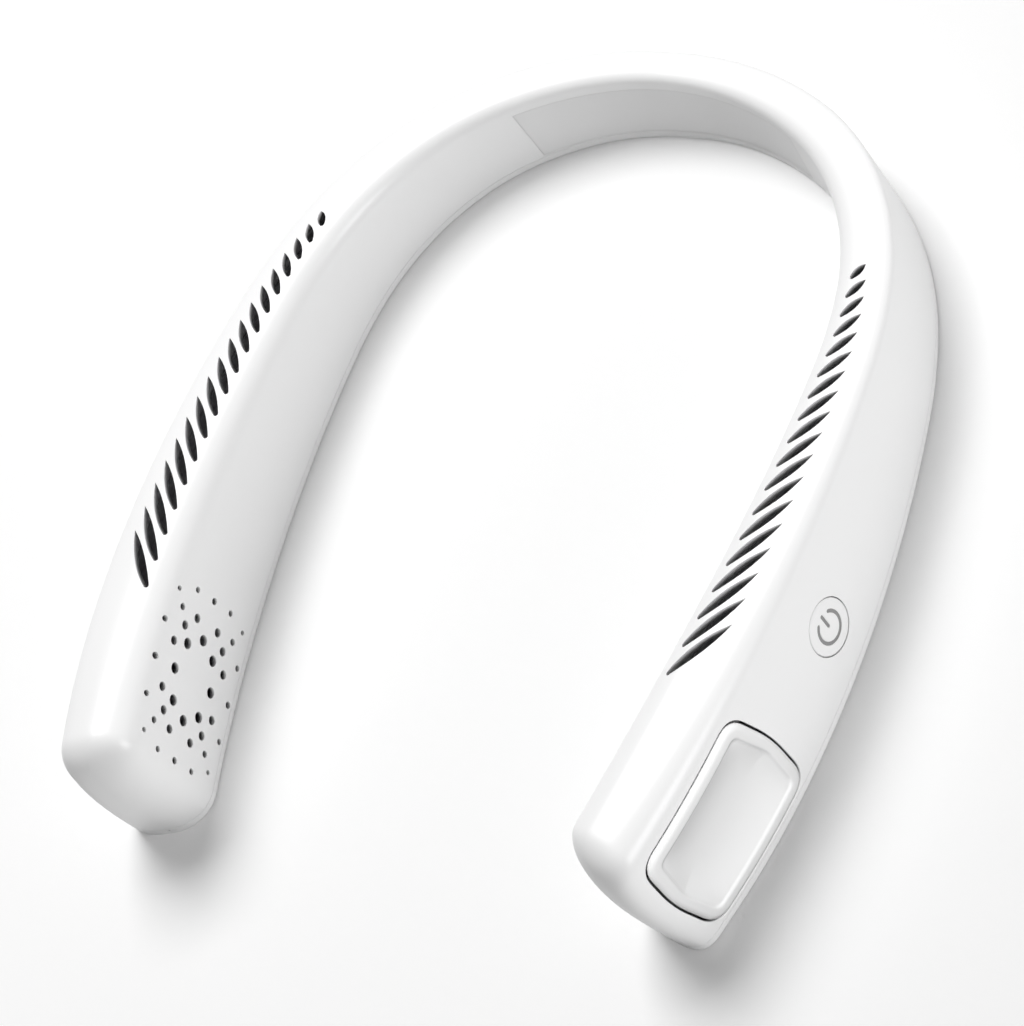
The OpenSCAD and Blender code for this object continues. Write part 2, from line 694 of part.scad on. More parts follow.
module fan_casing(side) {
    color("dimgray") {
        on_fan(side) {
            difference() {
                translate([0, 0, -casing_half]) linear_extrude(height = 2 * casing_half)
                    scroll(casing_t, outlet_reach);
                translate([0, 0, -plate_in]) linear_extrude(height = 2 * plate_in)
                    scroll(0, outlet_reach + overrun);
                translate([0, 0, -casing_half - overrun])
                    cylinder(r = inlet_r, h = 2 * (casing_half + overrun), $fn = 64);
            }
            // Motor base on three struts, with the tube that holds the bush
            translate([0, 0, plate_in]) {
                cylinder(r = base_r, h = casing_t);
                for (a = [30:120:270]) rotate(a)
                    translate([base_r - casing_t, -casing_t, 0])
                        cube([inlet_r - base_r + 2 * casing_t, 2 * casing_t, casing_t]);
            }
            translate([0, 0, tube_in]) tube(bush_r + tube_t, bush_r, plate_in - tube_in);
            // Sockets for the side cover's pegs
            for (a = [45:90:315]) rotate(a) translate([peg_ring_r, 0, casing_half - casing_t / 2])
                tube(peg_r + fit_gap + duct_t, peg_r + fit_gap, 1.5 * casing_t);
        }
        // Feet that are screwed to the bottom cover's bosses
        for (x = [-1, 1]) place(fan_s, side) translate([0, casing_shift, foot_z])
            difference() {
                union() {
                    translate([x * foot_x, 0, 0]) cylinder(r = boss_r, h = foot_t);
                    translate([x > 0 ? 0.6 * wheel_r : -foot_x, -boss_r, 0])
                        cube([foot_x - 0.6 * wheel_r, 2 * boss_r, foot_t]);
                }
                translate([x * foot_x, 0, -overrun])
                    cylinder(r = screw_r + fit_gap, h = foot_t + 2 * overrun);
            }
    }
}

// Double-sided wheel of sloping blades round the motor's hub
module impeller(side) {
    color("slategray") on_fan(side) {
        difference() {
            translate([0, 0, -wheel_w / 2]) cylinder(r = hub_r, h = wheel_w / 2 + hub_end);
            translate([0, 0, hub_in])
                cylinder(r = hub_r - hub_t, h = wheel_w);
            translate([0, 0, -wheel_w / 2 + hub_t / 3]) cylinder(r = shaft_r + seat, h = wheel_w);
        }
        translate([0, 0, hub_in - seat]) tube(shaft_r + hub_t, shaft_r + seat, hub_t);
        translate([0, 0, -hub_t / 2]) tube(wheel_r, hub_r - hub_t / 2, hub_t);
        for (i = [0:blade_count - 1])
            rotate(i * 360 / blade_count) translate([wheel_r - 0.53 * blade_len, 0, 0])
                rotate(blade_angle) cube([blade_len, blade_t, wheel_w], center = true);
        for (z = [-wheel_w / 2, wheel_w / 2 - hub_t])
            translate([0, 0, z]) tube(wheel_r, wheel_r - hub_t, hub_t);
    }
}

module magnet_ring(side) {
    color("gray") on_fan(side) translate([0, 0, stator_mid - magnet_h / 2])
        tube(hub_r - hub_t - seat, stator_r + magnet_gap, magnet_h);
}

module motor_shaft(side) {
    start = -wheel_w / 2 + hub_t / 3 + seat;
    color("silver") on_fan(side) translate([0, 0, start])
        cylinder(r = shaft_r, h = plate_in - fit_gap - start);
}

module bearing_bush(side) {
    color("goldenrod") on_fan(side) translate([0, 0, tube_in])
        tube(bush_r - seat, shaft_r + shaft_gap, plate_in - seat - tube_in);
}

// Laminated core with a shoe on each pole, two thirds of the pole's pitch long
module stator_core(side) {
    color("silver") on_fan(side) translate([0, 0, stator_mid - stator_h / 2]) {
        tube(core_r, bush_r + tube_t + seat, stator_h);
        for (i = [0:pole_count - 1]) rotate(i * 360 / pole_count) {
            translate([core_r - shoe_t / 3, -stem_w / 2, 0])
                cube([stator_r - core_r - shoe_t / 3, stem_w, stator_h]);
            rotate(-120 / pole_count) rotate_extrude(angle = 240 / pole_count, $fn = 96)
                translate([stator_r - shoe_t, 0]) square([shoe_t, stator_h]);
        }
    }
}

// Winding round the stem of each pole
module stator_coils(side) {
    color("peru") on_fan(side) for (i = [0:pole_count - 1])
        rotate(i * 360 / pole_count) translate([core_r + seat, 0, stator_mid]) difference() {
            translate([0, -stem_w / 2 - coil_t, -stator_h / 2 - coil_t])
                cube([coil_reach - core_r - 2 * seat, stem_w + 2 * coil_t, stator_h + 2 * coil_t]);
            translate([-overrun, -stem_w / 2 - seat, -stator_h / 2 - seat])
                cube([stator_r, stem_w + 2 * seat, stator_h + 2 * seat]);
        }
}

module motor_board(side) {
    color("darkgreen") on_fan(side) translate([0, 0, plate_in - ring_board_t - seat])
        tube(base_r, bush_r + tube_t + fit_gap, ring_board_t);
}

module battery(side) {
    color("steelblue") place(cell_s, side) translate([0, cell_shift, cell_z]) rotate([0, 90, 0]) {
        translate([0, 0, -cell_len / 2]) cylinder(d = cell_d, h = cell_len);
        translate([0, 0, -cell_len / 2 - ribbon_t]) cylinder(d = cell_d / 3, h = cell_len / 2);
    }
}

module main_board() {
    color("darkgreen") place(button_s)
        translate([board_x - board_len / 2, board_shift, board_z])
            cube([board_len, board_t, board_h]);
}

module control_chip() {
    color("black") place(button_s)
        translate([board_x - chip_w / 2, board_shift - seat - chip_t, board_z + board_h / 2])
            cube([chip_w, chip_t, chip_w]);
}

module boost_coil() {
    color("dimgray") place(button_s)
        translate([board_x + board_len / 4, board_shift - seat, board_z + board_h / 3])
            rotate([90, 0, 0]) cylinder(r = boost_r, h = boost_h);
}

module switch_body() {
    color("silver") on_button() translate([0, 0, board_out + seat]) difference() {
        translate([-switch_w / 2, -switch_w / 2, 0]) cube([switch_w, switch_w, switch_h]);
        translate([0, 0, switch_h - plunger_out - button_travel - fit_gap])
            cylinder(r = plunger_r + shaft_gap, h = switch_h);
    }
}

module switch_plunger() {
    color("black") on_button() translate([0, 0, board_out + switch_h - plunger_out])
        cylinder(r = plunger_r, h = 2 * plunger_out);
}

// Slab parallel to the outer wall, from depth t1 to depth t2 below the button's face
module wall_slab(t1, t2) {
    place(button_s) translate([0, button_face, button_z]) rotate([button_lean, 0, button_skew])
        translate([-button_s / 4, -t2, -button_s / 4])
            cube([button_s / 2, t2 - t1, button_s / 2]);
}

// Round cap with a flange behind the wall and a stem on the switch's plunger
module power_button() {
    start = board_out + switch_h + plunger_out + seat;
    back = wall + button_gap;
    color("white") {
        intersection() {
            on_button() translate([0, 0, start])
                cylinder(r = button_hole_r - button_gap, h = button_face, $fn = 64);
            wall_slab(0, back + flange_t);
        }
        intersection() {
            on_button() translate([0, 0, start - 2 * flange_t])
                cylinder(r = button_hole_r + flange_t, h = button_face, $fn = 64);
            wall_slab(back, back + flange_t);
        }
        on_button() translate([0, 0, start])
            cylinder(r = plunger_r, h = button_face - wall - start);
    }
}

module at_socket() {
    place(button_s) translate([socket_x, board_out + seat + socket_t / 2, floor_t / 4]) children();
}

module charging_socket() {
    color("silver") at_socket() difference() {
        linear_extrude(height = socket_l) pill(socket_w, socket_t);
        translate([0, 0, -overrun]) linear_extrude(height = socket_l + overrun - socket_wall)
            pill(socket_w - 2 * socket_wall, socket_t - 2 * socket_wall);
    }
}

module socket_tongue() {
    color("black") at_socket()
        translate([-socket_w * tongue_share / 2, -tongue_t / 2, 2 * socket_wall])
            cube([socket_w * tongue_share, tongue_t, socket_l - 3 * socket_wall - seat]);
}

// Flat cable from the left blower round the neck to the right one, along the bottom cover
module arm_cable() {
    reach = fan_s - foot_x - boss_r - 2 * fit_gap;
    n = 28;
    color("gray") loft([for (i = [-n:n])
        ring(reach * i / n, [for (p = [[-1, 0], [-1, 1], [1, 1], [1, 0]])
            [ribbon_shift + p[0] * ribbon_w / 2, floor_t + seat + p[1] * ribbon_t]])]);
}

// Screw with its head below the origin and its thread along +Z
module screw(l) {
    color("silver") {
        translate([0, 0, -head_h]) difference() {
            cylinder(r = head_r, h = head_h);
            for (a = [0, 90]) rotate(a) translate([-recess_l / 2, -recess_w / 2, -overrun])
                cube([recess_l, recess_w, overrun + head_h / 2]);
        }
        cylinder(r = screw_r, h = l);
    }
}

module fan_screw(i) {
    place(fan_s, i < 3 ? -1 : 1)
        translate([(i % 2 == 0 ? 1 : -1) * foot_x, casing_shift, foot_z + foot_t + seat])
            mirror([0, 0, 1]) screw(foot_t + fan_boss_h - 2 * fit_gap);
}

module case_screw(i) {
    at_case_screw((i - 1) % 4, i < 5 ? -1 : 1) translate([0, 0, floor_t / 2 - seat])
        screw(screw_len);
}

upper_shell();
bottom_cover();
neck_pad();
side_cover(-1);  // side_cover_left
side_cover(1);  // side_cover_right
air_duct(-1);  // air_duct_left
air_duct(1);  // air_duct_right
fan_casing(-1);  // fan_casing_left
fan_casing(1);  // fan_casing_right
impeller(-1);  // impeller_left
impeller(1);  // impeller_right
magnet_ring(-1);  // magnet_ring_left
magnet_ring(1);  // magnet_ring_right
motor_shaft(-1);  // motor_shaft_left
motor_shaft(1);  // motor_shaft_right
bearing_bush(-1);  // bearing_bush_left
bearing_bush(1);  // bearing_bush_right
stator_core(-1);  // stator_core_left
stator_core(1);  // stator_core_right
stator_coils(-1);  // stator_coils_left
stator_coils(1);  // stator_coils_right
motor_board(-1);  // motor_board_left
motor_board(1);  // motor_board_right
battery(-1);  // battery_left
battery(1);  // battery_right
main_board();
control_chip();
boost_coil();
switch_body();
switch_plunger();
power_button();
charging_socket();
socket_tongue();
arm_cable();
fan_screw(1);  // fan_screw_1
fan_screw(2);  // fan_screw_2
fan_screw(3);  // fan_screw_3
fan_screw(4);  // fan_screw_4
case_screw(1);  // case_screw_1
case_screw(2);  // case_screw_2
case_screw(3);  // case_screw_3
case_screw(4);  // case_screw_4
case_screw(5);  // case_screw_5
case_screw(6);  // case_screw_6
case_screw(7);  // case_screw_7
case_screw(8);  // case_screw_8
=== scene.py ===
"""Looks of a U-shaped neck fan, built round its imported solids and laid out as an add-on.
Sizes in the geometry code are millimetres; a piece becomes metres when it is finished."""

import json
from math import atan, cos, pi, radians, sin, sqrt

import bmesh
import bpy
from mathutils import Matrix, Vector
from mathutils.bvhtree import BVHTree


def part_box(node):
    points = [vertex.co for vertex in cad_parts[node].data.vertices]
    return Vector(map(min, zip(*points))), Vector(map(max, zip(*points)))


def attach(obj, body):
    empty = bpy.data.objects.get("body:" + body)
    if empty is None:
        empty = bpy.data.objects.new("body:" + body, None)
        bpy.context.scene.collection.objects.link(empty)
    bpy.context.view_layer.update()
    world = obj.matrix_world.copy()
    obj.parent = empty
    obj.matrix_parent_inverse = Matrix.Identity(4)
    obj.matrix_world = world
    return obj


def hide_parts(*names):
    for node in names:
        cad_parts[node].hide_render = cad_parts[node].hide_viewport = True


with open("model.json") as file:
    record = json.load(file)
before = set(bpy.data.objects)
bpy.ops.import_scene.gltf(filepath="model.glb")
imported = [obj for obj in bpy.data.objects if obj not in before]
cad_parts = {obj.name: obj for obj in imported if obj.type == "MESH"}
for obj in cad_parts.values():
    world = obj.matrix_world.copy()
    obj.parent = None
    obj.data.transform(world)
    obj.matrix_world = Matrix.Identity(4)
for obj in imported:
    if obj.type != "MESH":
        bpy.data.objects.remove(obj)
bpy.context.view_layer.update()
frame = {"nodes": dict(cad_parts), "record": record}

bl_info = {
    "name": "Neck fan",
    "version": (1, 0, 0),
    "blender": (4, 5, 0),
    "location": "View3D > Sidebar > Neck fan",
    "description": "Builds the shell, covers, button, finishes and stage of a neck fan",
    "category": "Add Mesh",
}

MM = 0.001
UP = Vector((0, 0, 1))

# Plan of the band: radius and turn of each arc of its centreline, from the back to the tip
ARCS = ((92, 27.8), (69, 44.4), (100, 10.8), (320, 15), (232, 7.8))

# Nose that closes a tip: its length, the powers of its curve on the inner and the outer side, the
# ease of its reach, how far its top comes down, and the share and power by which its top edge and
# its foot are set back
NOSE_LEN = 10
NOSE_POWERS = (2.1, 3.6)
NOSE_EASE = 0.8
NOSE_DROP = 0.16
NOSE_BACK = (0.6, 4)
NOSE_TUCK = (0.12, 3)
NOSE_ANGLES = (6, 12, 18, 24, 30, 36, 42, 48, 54, 60, 66, 72, 77, 81, 84, 86.5, 88)

# Section of the band: four control values each, from the back to the tip
FOOT_W = (11, 7, 29.5, 23.2)
TOP_W = (8, 10, 23, 19.5)
TOP_SHIFT = (3, 5.3, -4.3, -1.8)
BAND_H = (20, 16.8, 37, 36.8)
CROWN = (0.6, 0.9, 1.4, 1.5)
OUTER_ROUND = (1.8, 1.6, 2.4, 5.4)
INNER_ROUND = (1.6, 2.4, 7.5, 8)
FOOT_ROUND = 1.4
WALL = 1.8
FLOOR_T = 2.2

# Seam between the shell and the bottom cover: its height, its depth and the shell's broken edge
SEAM_Z = 2.16
SEAM_IN = 0.9
SEAM_LIP = 0.03

# Steps of the roundings, the crown and the walls in a section
INNER_STEPS = 12
CROWN_STEPS = 14
OUTER_STEPS = 10
WALL_STEPS = 7
CAVITY_STEPS = (5, 4)
FOOT_STEPS = 7
FLOOR_STEPS = 3

# Cutters: how far they start above the skin, rise over it and go past the wall, and how near to
# the old skin a point counts as part of it
RAY_START = 60
CUT_RISE = 4
CUT_PAST = 1
LIP_ANGLES = (20, 38, 55, 72, 90)
LIP_CLIMB = 0.1
SKIN_NEAR = 0.003

# Outlet slots, from the back to the tip
SLOTS = 18
SLOT_FROM_TIP = 138.7
SLOT_PITCH = 4.36
SLOT_GAIN = 0.14
SLOT_LEN = (4.2, 17.1)
SLOT_W = (2.1, 2.6)
SLOT_ANGLE = (52.4, 33.4)
SLOT_SHIFT = 0.5
SLOT_GROWTH = 0.81
SLOT_BLUNT = 0.12
SLOT_TIP = (0.16, 0.9)
SLOT_TIP_TURNS = (0.35, 0.75, 1.15)
SLOT_STEPS = 18
SLOT_PAST = 1.5

# Inlet holes
FAN_FROM_TIP = 21.3
FAN_Z = 17.7
INLET_RING = 9.9
INLET_PITCH = 4.9
INLET_R = 1.3
INLET_LOSS = 0.24
INLET_SQUASH = 0.72
INLET_EXTRA = (2.4, 20)

# Side covers
COVER_FROM_TIP = 16.1
COVER_SIZE = (36.2, 27.4)
COVER_Z = 3.4
COVER_BOW = 2
COVER_R = 4.6
COVER_R_LEAST = 1.2
COVER_CORNER_STEPS = 10
COVER_SIDE_STEPS = 5
COVER_GAP = 0.5
COVER_T = 3.2
COVER_PROUD = 0.9
COVER_NECK = 0.4
COVER_STRIP = 0.1
COVER_SHOULDER = 1.3
COVER_SHOULDER_STEPS = 8
COVER_PAST = 0.8
RIM_FALL = 0.02
RIM_ROUND = (0.8, 0.6)
RIM_TURN = 70
RIM_STEPS = 5
DISH_TOP = 0.4
DISH_POWERS = (5, 2.2)
DISH_RINGS = 25

# Power button: its place and its hole, then its face's edge as (inset, height) pairs
BUTTON_FROM_TIP = 61.8
BUTTON_Z = 14.2
BUTTON_HOLE_R = 6.5
BUTTON_GAP = 0.2
BUTTON_LIP = 0.12
BUTTON_EDGE = ((1.2, 0.02), (0.5, -0.01), (0.2, -0.07), (0.05, -0.2), (0, -0.4))
BUTTON_CREASE = 25
ROUND_STEPS = 72
WELD = 0.0005
CAP_H = 2
FLANGE = (0.8, 0.6)
STEM_R = 1.15
STEM_END = 4.4
SYMBOL_TILT = -12
SYMBOL_GAP = 37
SYMBOL_STEPS = 40
SYMBOL_BAR = 0.4
SYMBOL_RISE = 0.4
SYMBOL_INLAY = (0.06, 0.1)
SYMBOL_FIT = 0.02

# Openings of the bottom cover
SCREW_HEAD_R = 1.75
SCREW_R = 1
PORT_GAP = 0.3
PORT_ROUND = 1.7

# Neck pad
PAD_HALF = 42
PAD_T = 0.9
PAD_GAP = 0.05
PAD_EDGE = 0.15
PAD_FOLD = 1
PAD_LOW = 2.7
PAD_TOP = 3.3


def linear(code):
    """Linear colour of an sRGB hex value."""
    parts = [int(code[i : i + 2], 16) / 255 for i in (1, 3, 5)]
    return [p / 12.92 if p <= 0.04045 else ((p + 0.055) / 1.055) ** 2.4 for p in parts]


# The centreline


def arc_starts():
    """Distance, turn and point at the start of each arc, then the whole length."""
    rows, s, turn, x, y = [], 0.0, 0.0, 0.0, 0.0
    for radius, angle in ARCS:
        rows.append((s, turn, x, y, radius))
        end = turn + radians(angle)
        x += radius * (sin(end) - sin(turn))
        y += radius * (cos(end) - cos(turn))
        s += radius * (end - turn)
        turn = end
    return rows, s


STARTS, BAND_LEN = arc_starts()


def centre(s):
    """Point and turn of the centreline at a distance s from the back."""
    s0, turn0, x, y, radius = [row for row in STARTS if row[0] <= max(s, 0)][-1]
    turn = turn0 + (s - s0) / radius
    return x + radius * (sin(turn) - sin(turn0)), y + radius * (cos(turn) - cos(turn0)), turn


def blend(values, s):
    """Cubic blend of four control values at a distance s."""
    a, b, c, d = values
    u = min(s / BAND_LEN, 1)
    v = 1 - u
    return a * v**3 + 3 * b * u * v * v + 3 * c * u * u * v + d * u**3


def wall_at(s, z, way):
    """Sideways place of the outer wall (way 1) or the inner wall (way -1) at a height z."""
    foot = way * blend(FOOT_W, s) / 2
    top = blend(TOP_SHIFT, s) + way * blend(TOP_W, s) / 2
    return foot + (top - foot) * z / blend(BAND_H, s)


def middle_y():
    """Shift that puts the middle of the band's length on the origin."""
    x, y, turn = centre(BAND_LEN)
    return -(FOOT_W[0] / 2 + y - sin(turn) * NOSE_LEN) / 2


MID_Y = middle_y()


def spot(s, n, z, side=1):
    """Point at a distance s along the band, n outward of its centreline and z high."""
    x, y, turn = centre(s)
    return Vector((side * (x + n * sin(turn)), y + n * cos(turn) + MID_Y, z))


def axes(s, side=1):
    """Directions toward the tip and outward at a distance s."""
    turn = centre(s)[2]
    return Vector((side * cos(turn), -sin(turn), 0)), Vector((side * sin(turn), cos(turn), 0))


def on_wall(s, x, z, way, lift, side=1):
    """Point on a wall at x along the frame of s, raised by lift off the wall."""
    ahead, out = axes(s, side)
    home = spot(s, 0, 0, side)
    t = s + x
    for _ in range(4):
        point = spot(t, wall_at(t, z, way) + way * lift, z, side)
        t += x - (point - home).dot(ahead)
    return point


# Outlines


def arc(start, pull, end, steps):
    """Points of a quadratic curve from start to end, drawn toward pull."""
    shares = [i / steps for i in range(steps + 1)]
    return [start * (1 - t) ** 2 + pull * 2 * t * (1 - t) + end * t * t for t in shares]


def bend(a, p, b, reach, steps):
    """Corner p between a and b, rounded from reach before it to reach after it."""
    a, p, b = Vector(a), Vector(p), Vector(b)
    return arc(p + (a - p).normalized() * reach, p, p + (b - p).normalized() * reach, steps)


def fill_in(points, counts):
    """Points with counts[i] more of them laid evenly between points[i] and the next."""
    made = []
    for i, p in enumerate(points[:-1]):
        steps = counts.get(i, 0) + 1
        made += [p.lerp(points[i + 1], k / steps) for k in range(steps)]
    return made + [points[-1]]


def shell_section(s):
    """Closed section of the upper shell: (sideways, height, inset at the nose) of each point."""
    top = blend(BAND_H, s)
    edge = FLOOR_T + SEAM_LIP
    a = (wall_at(s, edge, -1), edge)
    b = (wall_at(s, top, -1), top)
    c = (blend(TOP_SHIFT, s), top + blend(CROWN, s))
    d = (wall_at(s, top, 1), top)
    e = (wall_at(s, edge, 1), edge)
    inner = bend(a, b, c, blend(INNER_ROUND, s), INNER_STEPS)
    outer = bend(c, d, e, blend(OUTER_ROUND, s), OUTER_STEPS)
    crown = arc(inner[-1], Vector(c), outer[0], CROWN_STEPS)[1:-1]
    points = [Vector(a)] + inner + crown + outer + [Vector(e)]
    outline = fill_in(points, {0: WALL_STEPS, len(points) - 2: WALL_STEPS})
    first = Vector((wall_at(s, FLOOR_T, -1) + SEAM_LIP, FLOOR_T))
    last = Vector((wall_at(s, FLOOR_T, 1) - SEAM_LIP, FLOOR_T))
    outline = [first] + outline + [last]
    roof = top - WALL
    a = (wall_at(s, FLOOR_T, -1) + WALL, FLOOR_T)
    b = (wall_at(s, roof, -1) + WALL, roof)
    c = (blend(TOP_SHIFT, s), roof + blend(CROWN, s))
    d = (wall_at(s, roof, 1) - WALL, roof)
    e = (wall_at(s, FLOOR_T, 1) - WALL, FLOOR_T)
    inner = bend(a, b, c, blend(INNER_ROUND, s) - WALL / 2, CAVITY_STEPS[0])
    outer = bend(c, d, e, blend(OUTER_ROUND, s) - WALL / 2, CAVITY_STEPS[1])
    cavity = [Vector(a)] + inner + [Vector(c)] + outer + [Vector(e)]
    return [(p.x, p.y, 0) for p in outline] + [(p.x, p.y, WALL) for p in reversed(cavity)]


def cover_section(s):
    """Closed section of the bottom cover, with the rebate under the shell's edge."""
    low, step = SEAM_Z, SEAM_IN
    a, d = (wall_at(s, low, -1), low), (wall_at(s, low, 1), low)
    b, c = (wall_at(s, 0, -1), 0), (wall_at(s, 0, 1), 0)
    inner = [Vector(a)] + bend(a, b, c, FOOT_ROUND, FOOT_STEPS)
    outer = bend(b, c, d, FOOT_ROUND, FOOT_STEPS) + [Vector(d)]
    points = fill_in(inner + outer, {len(inner) - 1: FLOOR_STEPS})
    made = [(wall_at(s, FLOOR_T, -1) + step, FLOOR_T, step), (a[0] + step, low, step)]
    made += [(p.x, p.y, 0) for p in points]
    return made + [(d[0] - step, low, step), (wall_at(s, FLOOR_T, 1) - step, FLOOR_T, step)]


def section_ring(s, section, angle=0.0, base=FLOOR_T):
    """Points of a section at s, on the left arm where s is below zero. The angle, in degrees,
    carries them round the nose: they move past the end, come down and close on the middle."""
    side = -1 if s < 0 else 1
    s = abs(s)
    foot = wall_at(s, base, -1)
    width = wall_at(s, base, 1) - foot
    mid = foot + width / 2
    reach = sin(radians(angle)) ** NOSE_EASE
    inner, outer = ((1 - reach**power) ** (1 / power) for power in NOSE_POWERS)
    drop = 1 - NOSE_DROP * (1 - (inner + outer) / 2)
    tall = blend(BAND_H, s)
    x, y, turn = centre(s)
    points = []
    for n, z, inset in section:
        t = min(max((n - foot) / width, 0), 1)
        n = mid + (n - mid) * (inner + (outer - inner) * t * t * (3 - 2 * t))
        ahead = (NOSE_LEN - inset) * reach if angle else 0
        height = base + (z - base) * drop if z > base else z
        up = max(height - base, 0) / tall
        ahead *= 1 - NOSE_BACK[0] * up ** NOSE_BACK[1] - NOSE_TUCK[0] * (1 - up) ** NOSE_TUCK[1]
        points.append(Vector((
            side * (x + n * sin(turn) + ahead * cos(turn)),
            y + n * cos(turn) - ahead * sin(turn) + MID_Y, height)))
    return points


def band_rings(section, steps, base=FLOOR_T):
    """Rings of a section from one tip round the back to the other."""
    tip = section(BAND_LEN)
    rings = [section_ring(-BAND_LEN, tip, a, base) for a in reversed(NOSE_ANGLES)]
    for i in range(-steps, steps + 1):
        s = BAND_LEN * i / steps
        rings.append(section_ring(s if i else 0.0, section(abs(s)), 0.0, base))
    return rings + [section_ring(BAND_LEN, tip, a, base) for a in NOSE_ANGLES]


# Mesh work


def is_vert(item):
    return isinstance(item, bmesh.types.BMVert)


def ladder(first, last):
    """Faces that close the points first to last of a ring, each across to its opposite."""
    faces = []
    while last - first > 2:
        faces.append((first, first + 1, last - 1, last))
        first, last = first + 1, last - 1
    return faces + ([(first, first + 1, last)] if last - first == 2 else [])


def loft(bm, rings, caps):
    """Extrudes a closed ring of edges through the other rings, then closes both ends with the
    faces that caps lists as indices round the ring."""
    ring = [bm.verts.new(p) for p in rings[0]]
    edges = [bm.edges.new((ring[i - 1], ring[i])) for i in range(len(ring))]
    ends = [ring]
    for points in rings[1:]:
        made = bmesh.ops.extrude_edge_only(bm, edges=edges)["geom"]
        new = {v for v in made if is_vert(v)}
        ring = [next(e.other_vert(v) for e in v.link_edges if e.other_vert(v) in new) for v in ring]
        edges = [e for e in made if isinstance(e, bmesh.types.BMEdge) and new.issuperset(e.verts)]
        for vert, point in zip(ring, points):
            vert.co = point
    ends.append(ring)
    for ring in ends:
        for cap in caps:
            bm.faces.new([ring[i] for i in cap])


def close(bm):
    """Makes every face point outward."""
    bmesh.ops.recalc_face_normals(bm, faces=bm.faces)


def to_object(name, bm):
    """New object at the origin from a bmesh, with smooth faces."""
    mesh = bpy.data.meshes.new(name)
    for face in bm.faces:
        face.smooth = True
    bm.to_mesh(mesh)
    bm.free()
    obj = bpy.data.objects.new(name, mesh)
    bpy.context.scene.collection.objects.link(obj)
    return obj


def bake(obj):
    """Applies the object's modifiers to its mesh."""
    found = obj.evaluated_get(bpy.context.evaluated_depsgraph_get())
    mesh = bpy.data.meshes.new_from_object(found)
    old = obj.data
    obj.modifiers.clear()
    obj.data = mesh
    bpy.data.meshes.remove(old)
    mesh.name = obj.name


def discard(obj):
    mesh = obj.data
    bpy.data.objects.remove(obj)
    bpy.data.meshes.remove(mesh)


def cut(obj, cutter):
    """Takes the cutter away from the object."""
    mod = obj.modifiers.new("cut", "BOOLEAN")
    mod.operation = "DIFFERENCE"
    mod.object = cutter
    mod.solver = "MANIFOLD"
    bake(obj)
    discard(cutter)
    if not obj.data.polygons:
        raise RuntimeError(f"the cut left nothing of {obj.name}")


def crease(obj, angle=32):
    """Marks the edges sharper than the angle, so that the faces shade smoothly between them."""
    bm = bmesh.new()
    bm.from_mesh(obj.data)
    for edge in bm.edges:
        edge.smooth = edge.is_manifold and edge.calc_face_angle(pi) < radians(angle)
    for face in bm.faces:
        face.smooth = True
    bm.to_mesh(obj.data)
    bm.free()


def keep_skin(obj, source, floor):
    """Gives what is left of the source's surface, above the height floor, the normals that it
    had before it was cut, so that a cut leaves no shading marks round it."""
    tree = BVHTree.FromObject(source, bpy.context.evaluated_depsgraph_get())
    group = obj.vertex_groups.new(name="skin")
    on = [v.index for v in obj.data.vertices
        if v.co.z > floor and tree.find_nearest(v.co)[3] < SKIN_NEAR]
    group.add(on, 1.0, "REPLACE")
    mod = obj.modifiers.new("normals", "DATA_TRANSFER")
    mod.object = source
    mod.use_loop_data = True
    mod.data_types_loops = {"CUSTOM_NORMAL"}
    mod.loop_mapping = "POLYINTERP_NEAREST"
    mod.vertex_group = "skin"
    bake(obj)
    obj.vertex_groups.clear()


def finish_piece(obj, body, material, slot, *nodes):
    """Scales a piece to metres, and gives it its body, finish and the nodes it stands for."""
    obj.data.transform(Matrix.Scale(MM, 4))
    obj.data.materials.clear()
    obj.data.materials.append(material)
    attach(obj, body)
    if nodes:
        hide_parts(*nodes)


# Cutters with a rounded lip


def grow(points, g):
    """A closed outline of (u, v) pairs, moved outward by g."""
    made = []
    for i, p in enumerate(points):
        way = (points[(i + 1) % len(points)] - points[i - 1]).normalized()
        made.append(p + Vector((way.y, -way.x)) * g)
    return made


def lipped_cutter(bm, tree, outline, home, u, v, w, lip, depth):
    """Cutter through the skin under an outline, flared where it breaks the surface so that the
    opening gets a rounded lip. u and v carry the outline and w points out of the skin."""
    lips = [(lip * (1 - sin(t)), lip * (1 - cos(t))) for t in map(radians, LIP_ANGLES)]
    first = radians(LIP_ANGLES[0])
    flare = lips[0][0] + LIP_CLIMB / sin(first) * cos(first)
    profile = [(flare, -CUT_RISE), (flare, lips[0][1] - LIP_CLIMB)] + lips + [(0, depth)]
    rings = []
    for g, down in profile:
        ring = []
        for p in grow(outline, g):
            start = home + u * p.x + v * p.y + w * RAY_START
            hit = tree.ray_cast(start, -w)[0]
            if hit is None:
                raise RuntimeError("an opening's outline runs off the skin")
            ring.append(hit - w * down)
        rings.append(ring)
    loft(bm, rings, [range(len(outline))])


def leaf(length, width):
    """Outline of a slot: a willow leaf with a pointed outer end and a rounded inner one."""
    half = length * (1 + SLOT_BLUNT) / 2
    x0 = half - length / 2
    radius = (half * half + width * width / 4) / width
    stop = length / 2 - width * SLOT_TIP[0]
    upper = []
    for i in range(SLOT_STEPS + 1):
        t = 0.5 - 0.5 * cos(pi * i / SLOT_STEPS)
        x = -length / 2 + (stop + length / 2) * t
        upper.append(Vector((x, sqrt(max(radius**2 - (x - x0) ** 2, 0)) - (radius - width / 2))))
    r = upper[-1].y
    bulge = r * SLOT_TIP[1]
    tip = [Vector((stop + bulge * sin(a), r * cos(a))) for a in SLOT_TIP_TURNS]
    side = upper[1:] + tip
    lower = [Vector((p.x, -p.y)) for p in reversed(side)]
    points = [Vector((-length / 2, 0))] + side + [Vector((stop + bulge, 0))] + lower
    return list(reversed(points))


